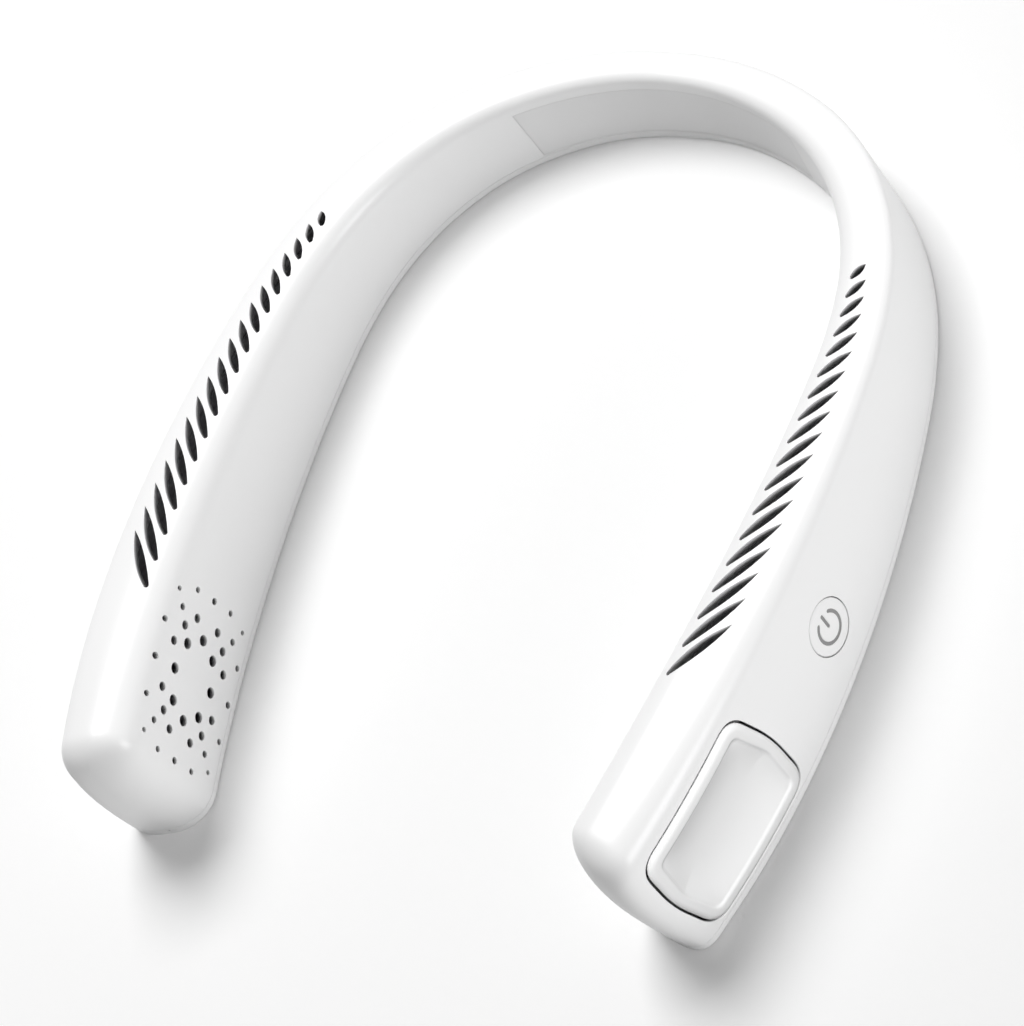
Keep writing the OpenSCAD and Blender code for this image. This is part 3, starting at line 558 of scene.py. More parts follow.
def circle(radius, steps=20):
    return [Vector((radius * cos(2 * pi * i / steps), radius * sin(2 * pi * i / steps)))
        for i in range(steps)]


def cover_outline(g):
    """Outline of a side cover, grown by g, round its own middle."""
    x, y = COVER_SIZE[0] / 2 + g, COVER_SIZE[1] / 2 + g
    r = max(COVER_R + g, COVER_R_LEAST)
    steps = COVER_CORNER_STEPS
    p = [(-x, -y), (-x - COVER_BOW, 0), (-x, y), (x, y), (x + COVER_BOW, 0), (x, -y)]
    points = []
    for i in range(6):
        points += bend(p[i - 1], p[i], p[(i + 1) % 6], r, steps)
    ends = range(steps, len(points), steps + 1)
    points = fill_in(points + [points[0]], dict.fromkeys(ends, COVER_SIDE_STEPS))
    return list(reversed(points[:-1]))


def cut_slots(bm, tree, side, lip):
    for i in range(SLOTS):
        f = i / (SLOTS - 1)
        s = BAND_LEN - SLOT_FROM_TIP + SLOT_PITCH * i + SLOT_GAIN / 2 * i * i
        length = SLOT_LEN[0] + (SLOT_LEN[1] - SLOT_LEN[0]) * f**SLOT_GROWTH
        width = SLOT_W[0] + (SLOT_W[1] - SLOT_W[0]) * f
        turn = radians(SLOT_ANGLE[0] + (SLOT_ANGLE[1] - SLOT_ANGLE[0]) * f)
        ahead, out = axes(s, side)
        home = spot(s, blend(TOP_SHIFT, s) - SLOT_SHIFT, 0, side)
        u = ahead * cos(turn) - out * sin(turn)
        v = ahead * sin(turn) + out * cos(turn)
        lipped_cutter(bm, tree, leaf(length, width), home, u, v, UP, lip, WALL + SLOT_PAST)


def inlet_spots():
    """Ring number and angle of each inlet hole: eight spokes, with more holes between them."""
    spots = []
    for k in range(8):
        spots += [(n, 45 * k) for n in ((0, 2) if k % 2 == 0 else (0, 1, 2, 3))]
        spots.append((1, 22.5 + 45 * k))
    for k in range(4):
        spots += [(INLET_EXTRA[0], 45 + 90 * k + INLET_EXTRA[1] * way) for way in (-1, 1)]
    return spots


def cut_inlets(bm, tree, side, lip):
    s = BAND_LEN - FAN_FROM_TIP
    ahead, out = axes(s, side)
    for n, angle in inlet_spots():
        r = INLET_RING + INLET_PITCH * n
        x, z = r * cos(radians(angle)), FAN_Z + r * INLET_SQUASH * sin(radians(angle))
        home = spot(s, 0, z, side) + ahead * x
        hole = circle(INLET_R - INLET_LOSS * n)
        lipped_cutter(bm, tree, hole, home, ahead, UP, -out, lip, WALL + CUT_PAST)


def cut_window(bm, tree, side, lip):
    s = BAND_LEN - COVER_FROM_TIP
    ahead, out = axes(s, side)
    home = spot(s, 0, COVER_Z + COVER_SIZE[1] / 2, side)
    window = cover_outline(COVER_GAP)
    lipped_cutter(bm, tree, window, home, ahead, UP, out, lip, WALL + COVER_PAST)


def button_frame():
    """Middle of the button's face, its directions toward the tip and up, and its axis."""
    s = BAND_LEN - BUTTON_FROM_TIP
    lean = atan((wall_at(s, 0, 1) - wall_at(s, blend(BAND_H, s), 1)) / blend(BAND_H, s))
    r = BUTTON_HOLE_R
    skew = atan((wall_at(s + r, BUTTON_Z, 1) - wall_at(s - r, BUTTON_Z, 1)) / (2 * r))
    ahead, out = axes(s)
    home = spot(s, wall_at(s, BUTTON_Z, 1), BUTTON_Z)
    level = out * cos(skew) - ahead * sin(skew)
    w = level * cos(lean) + UP * sin(lean)
    u = ahead * cos(skew) + out * sin(skew)
    return home, u, w.cross(u) if w.cross(u).z > 0 else u.cross(w), w


def pad_rings(grown, raised, sunk, steps=40):
    """Rings of a strip along the inner wall at the back."""
    rings = []
    for i in range(steps + 1):
        s = (PAD_HALF + grown) * (2 * i / steps - 1)
        side, t = (-1, -s) if s < 0 else (1, s)
        low, high = PAD_LOW - grown, blend(BAND_H, t) - PAD_TOP + grown
        rings.append([spot(t, wall_at(t, z, -1) - lift, z, side) for z, lift in (
            (low, raised), (high, raised), (high, -sunk), (low, -sunk))])
    return rings


# Materials


def add(tree, kind, sockets=None, **settings):
    """Adds a node, sets its settings, and sets or links its input sockets."""
    node = tree.nodes.new(kind)
    for name, value in settings.items():
        setattr(node, name, value)
    for name, value in (sockets or {}).items():
        if isinstance(value, bpy.types.NodeSocket):
            tree.links.new(value, node.inputs[name])
        else:
            node.inputs[name].default_value = value
    return node


def new_material(name):
    material = bpy.data.materials.new(name)
    material.use_nodes = True
    material.node_tree.nodes.clear()
    return material, material.node_tree


def moulded(name, code, roughness, grain, depth, coat=0.0, sheen=0.0, tone=0.02):
    """Injection-moulded plastic: its grain is the spark-eroded face of the tool, in metres, and
    its colour drifts by tone over some centimetres as the melt flowed."""
    drift_width = 0.03
    material, tree = new_material(name)
    coords = add(tree, "ShaderNodeTexCoord").outputs["Object"]
    flow = add(tree, "ShaderNodeTexNoise", {
        "Vector": coords, "Scale": 1 / drift_width, "Detail": 2.0})
    colour = linear(code)
    low = [c * (1 - tone) for c in colour]
    drift = add(tree, "ShaderNodeMix", {
        "Factor": flow.outputs["Fac"], 6: (*low, 1), 7: (*colour, 1)}, data_type="RGBA")
    fine = add(tree, "ShaderNodeTexNoise", {"Vector": coords, "Scale": 1 / grain, "Detail": 3.0})
    bump = add(tree, "ShaderNodeBump", {
        "Height": fine.outputs["Fac"], "Distance": depth, "Strength": 1.0})
    gloss = add(tree, "ShaderNodeMapRange", {
        "Value": fine.outputs["Fac"], "To Min": roughness * 0.9, "To Max": roughness * 1.1})
    shader = add(tree, "ShaderNodeBsdfPrincipled", {
        "Base Color": drift.outputs[2], "Roughness": gloss.outputs["Result"], "IOR": 1.53,
        "Normal": bump.outputs["Normal"], "Coat Weight": coat, "Coat Roughness": 0.12,
        "Sheen Weight": sheen})
    add(tree, "ShaderNodeOutputMaterial", {"Surface": shader.outputs["BSDF"]})
    return material


def metal(name, code, roughness, scratch, stretch, depth):
    """Bare or plated metal with tool marks a scratch apart, in metres, drawn out by stretch."""
    material, tree = new_material(name)
    coords = add(tree, "ShaderNodeTexCoord").outputs["Object"]
    mapped = add(tree, "ShaderNodeMapping", {"Vector": coords, "Scale": (1.0, stretch, 1.0)})
    marks = add(tree, "ShaderNodeTexNoise", {
        "Vector": mapped.outputs["Vector"], "Scale": 1 / scratch, "Detail": 4.0})
    bump = add(tree, "ShaderNodeBump", {"Height": marks.outputs["Fac"], "Distance": depth})
    gloss = add(tree, "ShaderNodeMapRange", {
        "Value": marks.outputs["Fac"], "To Min": roughness * 0.8, "To Max": roughness * 1.2})
    shader = add(tree, "ShaderNodeBsdfPrincipled", {
        "Base Color": (*linear(code), 1), "Metallic": 1.0, "Roughness": gloss.outputs["Result"],
        "Normal": bump.outputs["Normal"]})
    add(tree, "ShaderNodeOutputMaterial", {"Surface": shader.outputs["BSDF"]})
    return material


# Settings


class BandSettings(bpy.types.PropertyGroup):
    slot_lip: bpy.props.FloatProperty(
        name="Slot lip", description="Radius of the lip round an outlet slot, millimetres",
        default=0.12, min=0.1, max=0.6)
    inlet_lip: bpy.props.FloatProperty(
        name="Inlet lip", description="Radius of the lip round an inlet hole, millimetres",
        default=0.15, min=0.05, max=0.4)
    window_lip: bpy.props.FloatProperty(
        name="Window lip", description="Radius of the lip round a side cover's window, millimetres",
        default=0.3, min=0.1, max=0.8)
    stations: bpy.props.IntProperty(
        name="Stations", description="Sections of the band along each arm",
        default=120, min=40, max=240)


class CoverSettings(bpy.types.PropertyGroup):
    rim: bpy.props.FloatProperty(
        name="Rim", description="Width of a side cover's rim, millimetres",
        default=3.0, min=2, max=5)
    dish: bpy.props.FloatProperty(
        name="Dish", description="Depth of a side cover's trough under its rim, millimetres",
        default=2.0, min=0.5, max=2.2)
    edge: bpy.props.FloatProperty(
        name="Edge", description="Height of the rounding of a side cover's outer edge, millimetres",
        default=1.1, min=0.2, max=1.6)


class ButtonSettings(bpy.types.PropertyGroup):
    symbol_r: bpy.props.FloatProperty(
        name="Symbol radius", description="Radius of the power symbol's arc, millimetres",
        default=3.5, min=2, max=5)
    stroke: bpy.props.FloatProperty(
        name="Stroke", description="Width of the power symbol's lines, millimetres",
        default=0.85, min=0.3, max=1.2)
    sunk: bpy.props.FloatProperty(
        name="Sunk", description="Depth of the power symbol, millimetres",
        default=0.2, min=0.05, max=0.5)


class FinishSettings(bpy.types.PropertyGroup):
    shell: bpy.props.StringProperty(
        name="Shell", description="Colour of the shell, sRGB hex", default="#f4f4f4")
    # The pad's grey, a little darker than the shell, is painted shade on the inner back wall
    pad: bpy.props.StringProperty(
        name="Pad", description="Colour of the neck pad, sRGB hex", default="#ececec")
    symbol: bpy.props.StringProperty(
        name="Symbol", description="Colour of the power symbol, sRGB hex", default="#8e8e8e")
    duct: bpy.props.StringProperty(
        name="Duct", description="Colour of the ducts and blowers, sRGB hex", default="#a6a6a8")


class StageSettings(bpy.types.PropertyGroup):
    key: bpy.props.FloatProperty(
        name="Key", description="Power of the softbox above the fan, watts",
        default=50.0, min=0, unit="POWER")
    fill: bpy.props.FloatProperty(
        name="Fill", description="Power of the low softbox on the right, watts",
        default=8.0, min=0, unit="POWER")
    graze: bpy.props.FloatProperty(
        name="Graze", description="Power of the softbox on the side covers, watts",
        default=24.0, min=0, unit="POWER")
    world: bpy.props.FloatProperty(
        name="World", description="Strength of the even light from all sides", default=0.16, min=0)
    floor: bpy.props.StringProperty(
        name="Floor", description="Colour of the floor, sRGB hex", default="#f2f2f2")
    lift: bpy.props.FloatProperty(
        name="Lift", description="Light that the camera sees added to the floor",
        default=0.16, min=0, max=1)


class FanSettings(bpy.types.PropertyGroup):
    band: bpy.props.PointerProperty(
        type=BandSettings, name="Band", description="Openings of the band")
    cover: bpy.props.PointerProperty(
        type=CoverSettings, name="Cover", description="Side covers")
    button: bpy.props.PointerProperty(
        type=ButtonSettings, name="Button", description="Power button")
    finish: bpy.props.PointerProperty(
        type=FinishSettings, name="Finish", description="Colours")
    stage: bpy.props.PointerProperty(
        type=StageSettings, name="Stage", description="Lights and floor")


def settings():
    return bpy.context.scene.neck_fan


def shell_plastic():
    """White ABS, moulded in a finely eroded tool: bright, with a soft satin gloss."""
    return bpy.data.materials.get("white_abs") or moulded(
        "white_abs", settings().finish.shell, 0.34, 0.0006, 0.0000025, tone=0.008)


def leave_out(obj):
    """Keeps the fill light off an object."""
    group = bpy.data.collections["fill_light"]
    group.objects.link(obj)
    group.collection_objects[-1].light_linking.link_state = "EXCLUDE"


# Operators


class NECKFAN_OT_stage(bpy.types.Operator):
    """Makes the camera, the lamps, the even light and the floor"""

    bl_idname = "neckfan.stage"
    bl_label = "Stage"

    def execute(self, context):
        scene = context.scene
        values = settings().stage
        self.camera(scene)
        self.lamps(scene, values)
        self.world(scene, values)
        self.floor(values)
        scene.view_settings.view_transform = "Standard"
        return {"FINISHED"}

    def camera(self, scene):
        """Places the camera by its direction from the target, its distance and its roll."""
        azimuth, elevation, roll = radians(65.91), radians(47.83), radians(-50.64)
        distance, lens_px, width_px = 873.0, 4660.0, 1024
        target = Vector((100.1, -58.4, 134.0))
        back = Vector((
            sin(azimuth) * cos(elevation), -cos(azimuth) * cos(elevation), sin(elevation)))
        right = (-back).cross(UP).normalized()
        up = right.cross(-back)
        turned = right * cos(roll) + up * sin(roll)
        top = up * cos(roll) - right * sin(roll)
        data = bpy.data.cameras.new("camera")
        data.sensor_fit = "HORIZONTAL"
        data.lens = lens_px * data.sensor_width / width_px
        data.clip_start, data.clip_end = 0.05, 20
        camera = bpy.data.objects.new("camera", data)
        scene.collection.objects.link(camera)
        place = Matrix((turned, top, back)).transposed().to_4x4()
        place.translation = (target + back * distance) * MM
        camera.matrix_world = place
        scene.camera = camera

    def lamps(self, scene, values):
        """A softbox overhead, toward the left and the back, a low one on the right that leaves out
        the floor and the side covers, and a high one on the right for the side covers alone."""
        rows = (
            ("key", (-0.8, 0.9, 2.0), 1.2, values.key),
            ("fill", (1.2, -0.25, 0.35), 0.6, values.fill),
            ("graze", (0.8, -0.1, 1.5), 0.5, values.graze))
        for name, place, size, power in rows:
            data = bpy.data.lights.new(name, "AREA")
            data.shape = "SQUARE"
            data.size = size
            data.energy = power
            lamp = bpy.data.objects.new(name, data)
            scene.collection.objects.link(lamp)
            turn = Vector(place).to_track_quat("Z", "Y").to_matrix().to_4x4()
            lamp.matrix_world = Matrix.Translation(place) @ turn
            if name != "key":
                lamp.light_linking.receiver_collection = bpy.data.collections.new(f"{name}_light")

    def world(self, scene, values):
        """Even white light, dim on the fan and plain white where the camera, a gloss or a clear
        piece looks past the floor."""
        world = bpy.data.worlds.new("studio")
        world.use_nodes = True
        tree = world.node_tree
        tree.nodes.clear()
        path = add(tree, "ShaderNodeLightPath")
        seen = path.outputs["Is Camera Ray"]
        for ray in ("Is Transmission Ray", "Is Glossy Ray"):
            seen = add(tree, "ShaderNodeMath", {
                0: seen, 1: path.outputs[ray]}, operation="MAXIMUM").outputs["Value"]
        level = add(tree, "ShaderNodeMapRange", {
            "Value": seen, "To Min": values.world, "To Max": 1.0})
        shader = add(tree, "ShaderNodeBackground", {
            "Color": (1, 1, 1, 1), "Strength": level.outputs["Result"]})
        add(tree, "ShaderNodeOutputWorld", {"Surface": shader.outputs["Background"]})
        scene.world = world

    def floor(self, values):
        """A large sheet of pale card, smooth and dull. The camera sees it brighter than it is lit,
        up to white far from the fan, and the fill leaves it out."""
        fibre_width, near, far = 0.002, 0.2, 0.6
        bm = bmesh.new()
        bmesh.ops.create_grid(bm, x_segments=1, y_segments=1, size=6.0)
        floor = to_object("floor", bm)
        material, tree = new_material("pale_card")
        coords = add(tree, "ShaderNodeTexCoord").outputs["Object"]
        fibre = add(tree, "ShaderNodeTexNoise", {
            "Vector": coords, "Scale": 1 / fibre_width, "Detail": 2.0})
        bump = add(tree, "ShaderNodeBump", {"Height": fibre.outputs["Fac"], "Distance": 0.00001})
        card = add(tree, "ShaderNodeBsdfDiffuse", {
            "Color": (*linear(values.floor), 1), "Normal": bump.outputs["Normal"]})
        away = add(tree, "ShaderNodeVectorMath", {0: coords}, operation="LENGTH")
        rise = add(tree, "ShaderNodeMapRange", {
            "Value": away.outputs["Value"], "From Min": near, "From Max": far,
            "To Min": values.lift})
        glow = add(tree, "ShaderNodeEmission", {
            "Color": (1, 1, 1, 1), "Strength": rise.outputs["Result"]})
        both = add(tree, "ShaderNodeAddShader", {
            0: card.outputs["BSDF"], 1: glow.outputs["Emission"]})
        path = add(tree, "ShaderNodeLightPath")
        pick = add(tree, "ShaderNodeMixShader", {
            0: path.outputs["Is Camera Ray"], 1: card.outputs["BSDF"], 2: both.outputs["Shader"]})
        add(tree, "ShaderNodeOutputMaterial", {"Surface": pick.outputs["Shader"]})
        floor.data.materials.append(material)
        leave_out(floor)


class NECKFAN_OT_upper_shell(bpy.types.Operator):
    """Makes the upper shell with its slots, inlets, windows, button hole and pad recess"""

    bl_idname = "neckfan.upper_shell"
    bl_label = "Upper shell"

    def execute(self, context):
        values = settings().band
        bm = bmesh.new()
        rings = band_rings(shell_section, values.stations)
        last = len(rings[0]) - 1
        split = sum(inset == 0 for _, _, inset in shell_section(0))
        caps = ladder(0, split - 1) + ladder(split, last) + [(0, split - 1, split, last)]
        loft(bm, rings, caps)
        close(bm)
        tree = BVHTree.FromBMesh(bm)
        source = to_object("shell_skin", bm.copy())
        crease(source)
        shell = to_object("upper_shell_skin", bm)
        cutters = bmesh.new()
        for side in (-1, 1):
            cut_slots(cutters, tree, side, values.slot_lip)
            cut_inlets(cutters, tree, side, values.inlet_lip)
            cut_window(cutters, tree, side, values.window_lip)
        home, u, v, w = button_frame()
        hole = circle(BUTTON_HOLE_R, ROUND_STEPS)
        lipped_cutter(cutters, tree, hole, home, u, v, w, BUTTON_LIP, WALL + CUT_PAST)
        loft(cutters, pad_rings(PAD_GAP, CUT_PAST, PAD_T + PAD_GAP), [range(4)])
        close(cutters)
        cut(shell, to_object("openings", cutters))
        crease(shell)
        keep_skin(shell, source, FLOOR_T + 2 * SEAM_LIP)
        discard(source)
        finish_piece(shell, "housing", shell_plastic(), "shell", "upper_shell")
        return {"FINISHED"}


class NECKFAN_OT_bottom_cover(bpy.types.Operator):
    """Makes the bottom cover with its seam, screw recesses and charging opening"""

    bl_idname = "neckfan.bottom_cover"
    bl_label = "Bottom cover"

    def execute(self, context):
        bm = bmesh.new()
        rings = band_rings(cover_section, settings().band.stations)
        loft(bm, rings, [range(len(rings[0]))])
        close(bm)
        cover = to_object("bottom_cover_plate", bm)
        cutters = bmesh.new()
        for i in range(1, 9):
            mid = self.box(f"case_screw_{i}")[0]
            for radius, top in ((SCREW_HEAD_R, FLOOR_T / 2), (SCREW_R, FLOOR_T + CUT_PAST)):
                bmesh.ops.create_cone(
                    cutters, cap_ends=True, segments=32, radius1=radius, radius2=radius,
                    depth=top + CUT_PAST,
                    matrix=Matrix.Translation((mid.x, mid.y, (top - CUT_PAST) / 2)))
        close(cutters)
        cut(cover, to_object("recesses", cutters))
        mid, size = self.box("charging_socket")
        size += Vector((PORT_GAP, PORT_GAP, 0))
        port = bmesh.new()
        bmesh.ops.create_cube(port, size=1)
        bmesh.ops.scale(port, vec=(size.x, size.y, 4 * FLOOR_T), verts=port.verts)
        bmesh.ops.bevel(
            port, geom=[e for e in port.edges if abs(e.verts[0].co.z - e.verts[1].co.z) > FLOOR_T],
            offset=PORT_ROUND, offset_type="OFFSET", affect="EDGES", segments=8, profile=0.5,
            material=-1)
        bmesh.ops.translate(port, vec=(mid.x, mid.y, 0), verts=port.verts)
        cut(cover, to_object("port", port))
        crease(cover)
        finish_piece(cover, "housing", shell_plastic(), "shell", "bottom_cover")
        return {"FINISHED"}

    def box(self, node):
        """Middle and size of a node's box, in millimetres."""
        low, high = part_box(node)
        return (low + high) / 2 / MM, (high - low) / MM


class NECKFAN_OT_neck_pad(bpy.types.Operator):
    """Makes the soft pad on the inner wall behind the neck"""

    bl_idname = "neckfan.neck_pad"
    bl_label = "Neck pad"

    def execute(self, context):
        bm = bmesh.new()
        loft(bm, pad_rings(0, 0, PAD_T), [range(4)])
        close(bm)
        folds = [e for e in bm.edges if len(e.link_faces) == 2 and e.calc_face_angle() > PAD_FOLD]
        bmesh.ops.bevel(
            bm, geom=folds, offset=PAD_EDGE, offset_type="OFFSET", affect="EDGES", segments=3,
            profile=0.5, material=-1)
        pad = to_object("neck_pad_soft", bm)
        crease(pad)
        # Silicone rubber, moulded in a blasted tool: dull, with a dusty bloom at a low angle. Its
        # grey, a little darker than the shell, is painted shade on the inner back wall
        material = moulded(
            "pad_silicone_painted_shade", settings().finish.pad, 0.6, 0.0005, 0.00001, sheen=0.2)
        finish_piece(pad, "housing", material, "pad", "neck_pad")
        return {"FINISHED"}


class NECKFAN_OT_side_covers(bpy.types.Operator):
    """Makes the two side covers with their raised rim and dished face"""

    bl_idname = "neckfan.side_covers"
    bl_label = "Side covers"

    def execute(self, context):
        # White ABS, moulded in a polished tool: glossier than the shell
        material = moulded(
            "cover_abs", settings().finish.shell, 0.16, 0.0006, 0.000002, tone=0.005)
        for side, name in ((-1, "left"), (1, "right")):
            cover = self.cover(side, name)
            finish_piece(cover, "housing", material, "cover", f"side_cover_{name}")
            leave_out(cover)
            bpy.data.collections["graze_light"].objects.link(cover)
        return {"FINISHED"}

    def profile(self):
        """(inset, share toward the middle, height over the band) of each ring of the face."""
        values = settings().cover
        low = COVER_PROUD - values.edge
        rows = [
            (COVER_NECK, 1, COVER_PROUD - COVER_T),
            (COVER_NECK, 1, low - COVER_STRIP - COVER_NECK), (0, 1, low - COVER_STRIP)]
        for i in range(COVER_SHOULDER_STEPS + 1):
            t = radians(90 * i / COVER_SHOULDER_STEPS)
            rows.append((COVER_SHOULDER * (1 - cos(t)), 1, low + values.edge * sin(t)))
        wide, deep = RIM_ROUND
        flat, top = values.rim - wide, COVER_PROUD - RIM_FALL
        rows.append((flat, 1, top))
        for i in range(1, RIM_STEPS + 1):
            t = radians(RIM_TURN * i / RIM_STEPS)
            rows.append((flat + wide * sin(t), 1, top - deep * (1 - cos(t))))
        for i in range(1, DISH_RINGS):
            rows.append((values.rim, 1 - i / DISH_RINGS, COVER_PROUD - DISH_TOP))
        return rows

    def hollow(self, p, share):
        """Depth of the dish at p: a trough along the cover that rises to the rim at both ends."""
        if share == 1:
            return 0
        x = COVER_SIZE[0] / 2 - settings().cover.rim
        y = COVER_SIZE[1] / 2 - settings().cover.rim
        v = min(abs(p.y) / y, 1)
        u = min(abs(p.x) / (x + COVER_BOW * (1 - v)), 1)
        return settings().cover.dish * (1 - u ** DISH_POWERS[0]) * (1 - v ** DISH_POWERS[1])

    def cover(self, side, name):
        s = BAND_LEN - COVER_FROM_TIP
        mid_z = COVER_Z + COVER_SIZE[1] / 2
        rings = []
        for inset, share, height in self.profile():
            outline = [p * share for p in cover_outline(-inset)]
            rings.append([
                on_wall(s, p.x, mid_z + p.y, 1, height - self.hollow(p, share), side)
                for p in outline])
        bm = bmesh.new()
        loft(bm, rings, [range(len(rings[0]))])
        close(bm)
        return to_object(f"side_cover_{name}_face", bm)


class NECKFAN_OT_power_button(bpy.types.Operator):
    """Makes the round power button and its sunk symbol"""

    bl_idname = "neckfan.power_button"
    bl_label = "Power button"

    def execute(self, context):
        values = settings().button
        home, u, v, w = button_frame()
        place = Matrix((u, v, w)).transposed().to_4x4()
        if place.determinant() < 0:
            place = Matrix((-u, v, w)).transposed().to_4x4()
        place.translation = home
        r = BUTTON_HOLE_R - BUTTON_GAP
        wide, low = r + FLANGE[0], -CAP_H - FLANGE[1]
        profile = [(0, BUTTON_EDGE[0][1])] + [(r - inset, z) for inset, z in BUTTON_EDGE] + [
            (r, -CAP_H), (wide, -CAP_H), (wide, low), (STEM_R, low), (STEM_R, -STEM_END),
            (0, -STEM_END)]
        bm = bmesh.new()
        verts = [bm.verts.new((x, 0, z)) for x, z in profile]
        edges = [bm.edges.new(pair) for pair in zip(verts, verts[1:])]
        bmesh.ops.spin(
            bm, geom=verts + edges, cent=(0, 0, 0), axis=(0, 0, 1), angle=2 * pi,
            steps=ROUND_STEPS, use_merge=True)
        bmesh.ops.remove_doubles(bm, verts=bm.verts, dist=WELD)
        close(bm)
        bmesh.ops.transform(bm, matrix=place, verts=bm.verts)
        button = to_object("power_button_cap", bm)
        crease(button, BUTTON_CREASE)
        cut(button, self.symbol("groove", place, SYMBOL_RISE, -values.sunk, values.stroke))
        crease(button, BUTTON_CREASE)
        symbol = self.symbol(
            "power_symbol", place, SYMBOL_INLAY[0] - values.sunk, -values.sunk - SYMBOL_INLAY[1],
            values.stroke - SYMBOL_FIT)
        finish = settings().finish
        # White ABS, moulded: a little smoother than the shell
        plastic = moulded("button_abs", finish.shell, 0.3, 0.0006, 0.0000025, tone=0.005)
        # Flat grey inlay in the sunk symbol, darker than the button
        grey_inlay = moulded("symbol_grey_inlay", finish.symbol, 0.5, 0.0004, 0.000004)
        finish_piece(button, "button", plastic, "button", "power_button")
        finish_piece(symbol, "button", grey_inlay, "button")
        return {"FINISHED"}

    def symbol(self, name, place, top, bottom, stroke):
        """An open ring with a bar through its gap, as a solid between two heights."""
        values = settings().button
        half = stroke / 2
        tilt, gap = radians(SYMBOL_TILT), radians(SYMBOL_GAP)
        outer, inner = [], []
        for i in range(SYMBOL_STEPS + 1):
            a = pi / 2 + gap + (2 * pi - 2 * gap) * i / SYMBOL_STEPS
            way = Vector((cos(a + tilt), sin(a + tilt)))
            outer.append(way * (values.symbol_r + half))
            inner.append(way * (values.symbol_r - half))
        ends = []
        for index, turn in ((-1, 1), (0, -1)):
            mid = (outer[index] + inner[index]) / 2
            out = (outer[index] - inner[index]).normalized()
            ahead = Vector((-out.y, out.x)) * turn
            ends.append([mid + (out * cos(t) + ahead * sin(t)) * half for t in (
                pi / 4, pi / 2, 3 * pi / 4)])
        ring = outer + ends[0] + list(reversed(inner)) + list(reversed(ends[1]))
        up = Vector((cos(pi / 2 + tilt), sin(pi / 2 + tilt)))
        across = Vector((-up.y, up.x))
        bar = []
        turns = [pi * k / 6 for k in range(7)]
        for foot, way in ((values.symbol_r + SYMBOL_BAR - half, 1), (half, -1)):
            bar += [up * foot + (across * cos(t) + up * sin(t) * way) * half for t in turns[::way]]
        bm = bmesh.new()
        for outline in (ring, bar):
            rings = [[place @ Vector((p.x, p.y, z)) for p in outline] for z in (top, bottom)]
            loft(bm, rings, [range(len(outline))])
        close(bm)
        made = to_object(name, bm)
        crease(made, BUTTON_CREASE)
        return made


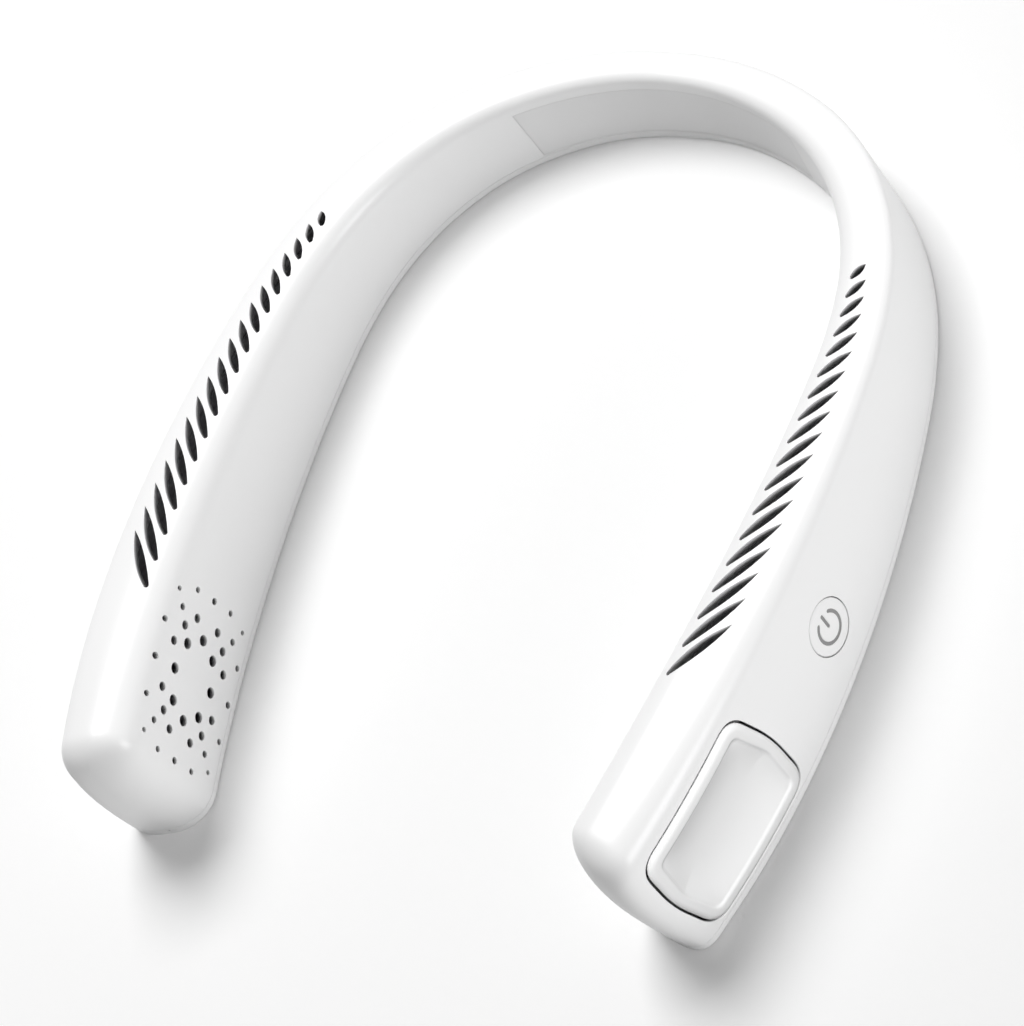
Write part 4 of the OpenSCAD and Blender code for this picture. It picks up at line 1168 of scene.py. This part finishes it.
class NECKFAN_OT_inner_parts(bpy.types.Operator):
    """Gives every solid that stays visible its finish"""

    bl_idname = "neckfan.inner_parts"
    bl_label = "Inner parts"

    def execute(self, context):
        finish = settings().finish
        made = {
            # Glass-filled nylon, moulded: a dull mid grey
            "duct": moulded("duct_nylon", finish.duct, 0.62, 0.0005, 0.00001),
            # PBT, moulded: dark grey with a faint gloss
            "impeller": moulded("impeller_pbt", "#46484c", 0.42, 0.0006, 0.000004),
            # Sintered magnet, ground: dull grey
            "magnet": metal("sintered_magnet", "#6c6c70", 0.5, 0.0004, 1.0, 0.000006),
            # Bright steel, turned: fine rings and a soft shine
            "steel": metal("turned_steel", "#b4b6b8", 0.3, 0.0003, 0.2, 0.000003),
            # Zinc-plated steel, cold headed: bluish and a little cloudy
            "screw": metal("zinc_plate", "#b6bbc2", 0.34, 0.0008, 1.0, 0.000004),
            # Sintered bronze, with open pores
            "bronze": metal("sintered_bronze", "#b58a52", 0.45, 0.0002, 1.0, 0.00001),
            # Enamelled copper wire, wound
            "copper": metal("enamelled_copper", "#c0683a", 0.28, 0.0003, 6.0, 0.00003),
            # Glass-fibre laminate under green solder mask
            "circuit_board": moulded("solder_mask", "#12502c", 0.35, 0.0003, 0.000004, coat=0.4),
            # PVC shrink sleeve, drawn tight
            "cell": moulded("shrink_sleeve", "#2f63a8", 0.3, 0.002, 0.00002, coat=0.3),
            # Pressed ferrite: matt and nearly black
            "ferrite": moulded("pressed_ferrite", "#2b2b2d", 0.7, 0.0003, 0.000012),
            # Black nylon, moulded
            "black_plastic": moulded("black_nylon", "#161616", 0.5, 0.0005, 0.000006),
            # PVC ribbon, extruded
            "cable": moulded("ribbon_pvc", "#8a8a8e", 0.45, 0.001, 0.00001),
            "shell": shell_plastic(),
        }
        slots = {row["node"]: row["material_slot"] for row in frame["record"]["subparts"]}
        for name, obj in frame["nodes"].items():
            material = made.get(slots[name])
            if material is None:
                continue
            obj.data.materials.clear()
            obj.data.materials.append(material)
        return {"FINISHED"}


class NECKFAN_PT_panel(bpy.types.Panel):
    """Lists the steps that build the fan"""

    bl_idname = "NECKFAN_PT_panel"
    bl_label = "Neck fan"
    bl_space_type = "VIEW_3D"
    bl_region_type = "UI"
    bl_category = "Neck fan"

    def draw(self, context):
        for step in STEPS:
            self.layout.operator(step.bl_idname)
        for group in ("band", "cover", "button", "finish", "stage"):
            values = getattr(context.scene.neck_fan, group)
            box = self.layout.box()
            box.label(text=group.capitalize())
            for name in values.bl_rna.properties.keys():
                if name not in ("rna_type", "name"):
                    box.prop(values, name)


STEPS = (
    NECKFAN_OT_stage, NECKFAN_OT_upper_shell, NECKFAN_OT_bottom_cover, NECKFAN_OT_neck_pad,
    NECKFAN_OT_side_covers, NECKFAN_OT_power_button, NECKFAN_OT_inner_parts)
GROUPS = (
    BandSettings, CoverSettings, ButtonSettings, FinishSettings, StageSettings, FanSettings)


def register():
    for cls in GROUPS + STEPS + (NECKFAN_PT_panel,):
        bpy.utils.register_class(cls)
    bpy.types.Scene.neck_fan = bpy.props.PointerProperty(
        type=FanSettings, name="Neck fan", description="Sizes and colours of the neck fan")


def unregister():
    del bpy.types.Scene.neck_fan
    for cls in reversed(GROUPS + STEPS + (NECKFAN_PT_panel,)):
        bpy.utils.unregister_class(cls)


def main():
    register()
    for step in STEPS:
        group, name = step.bl_idname.split(".")
        getattr(getattr(bpy.ops, group), name)()


if __name__ == "__main__":
    main()
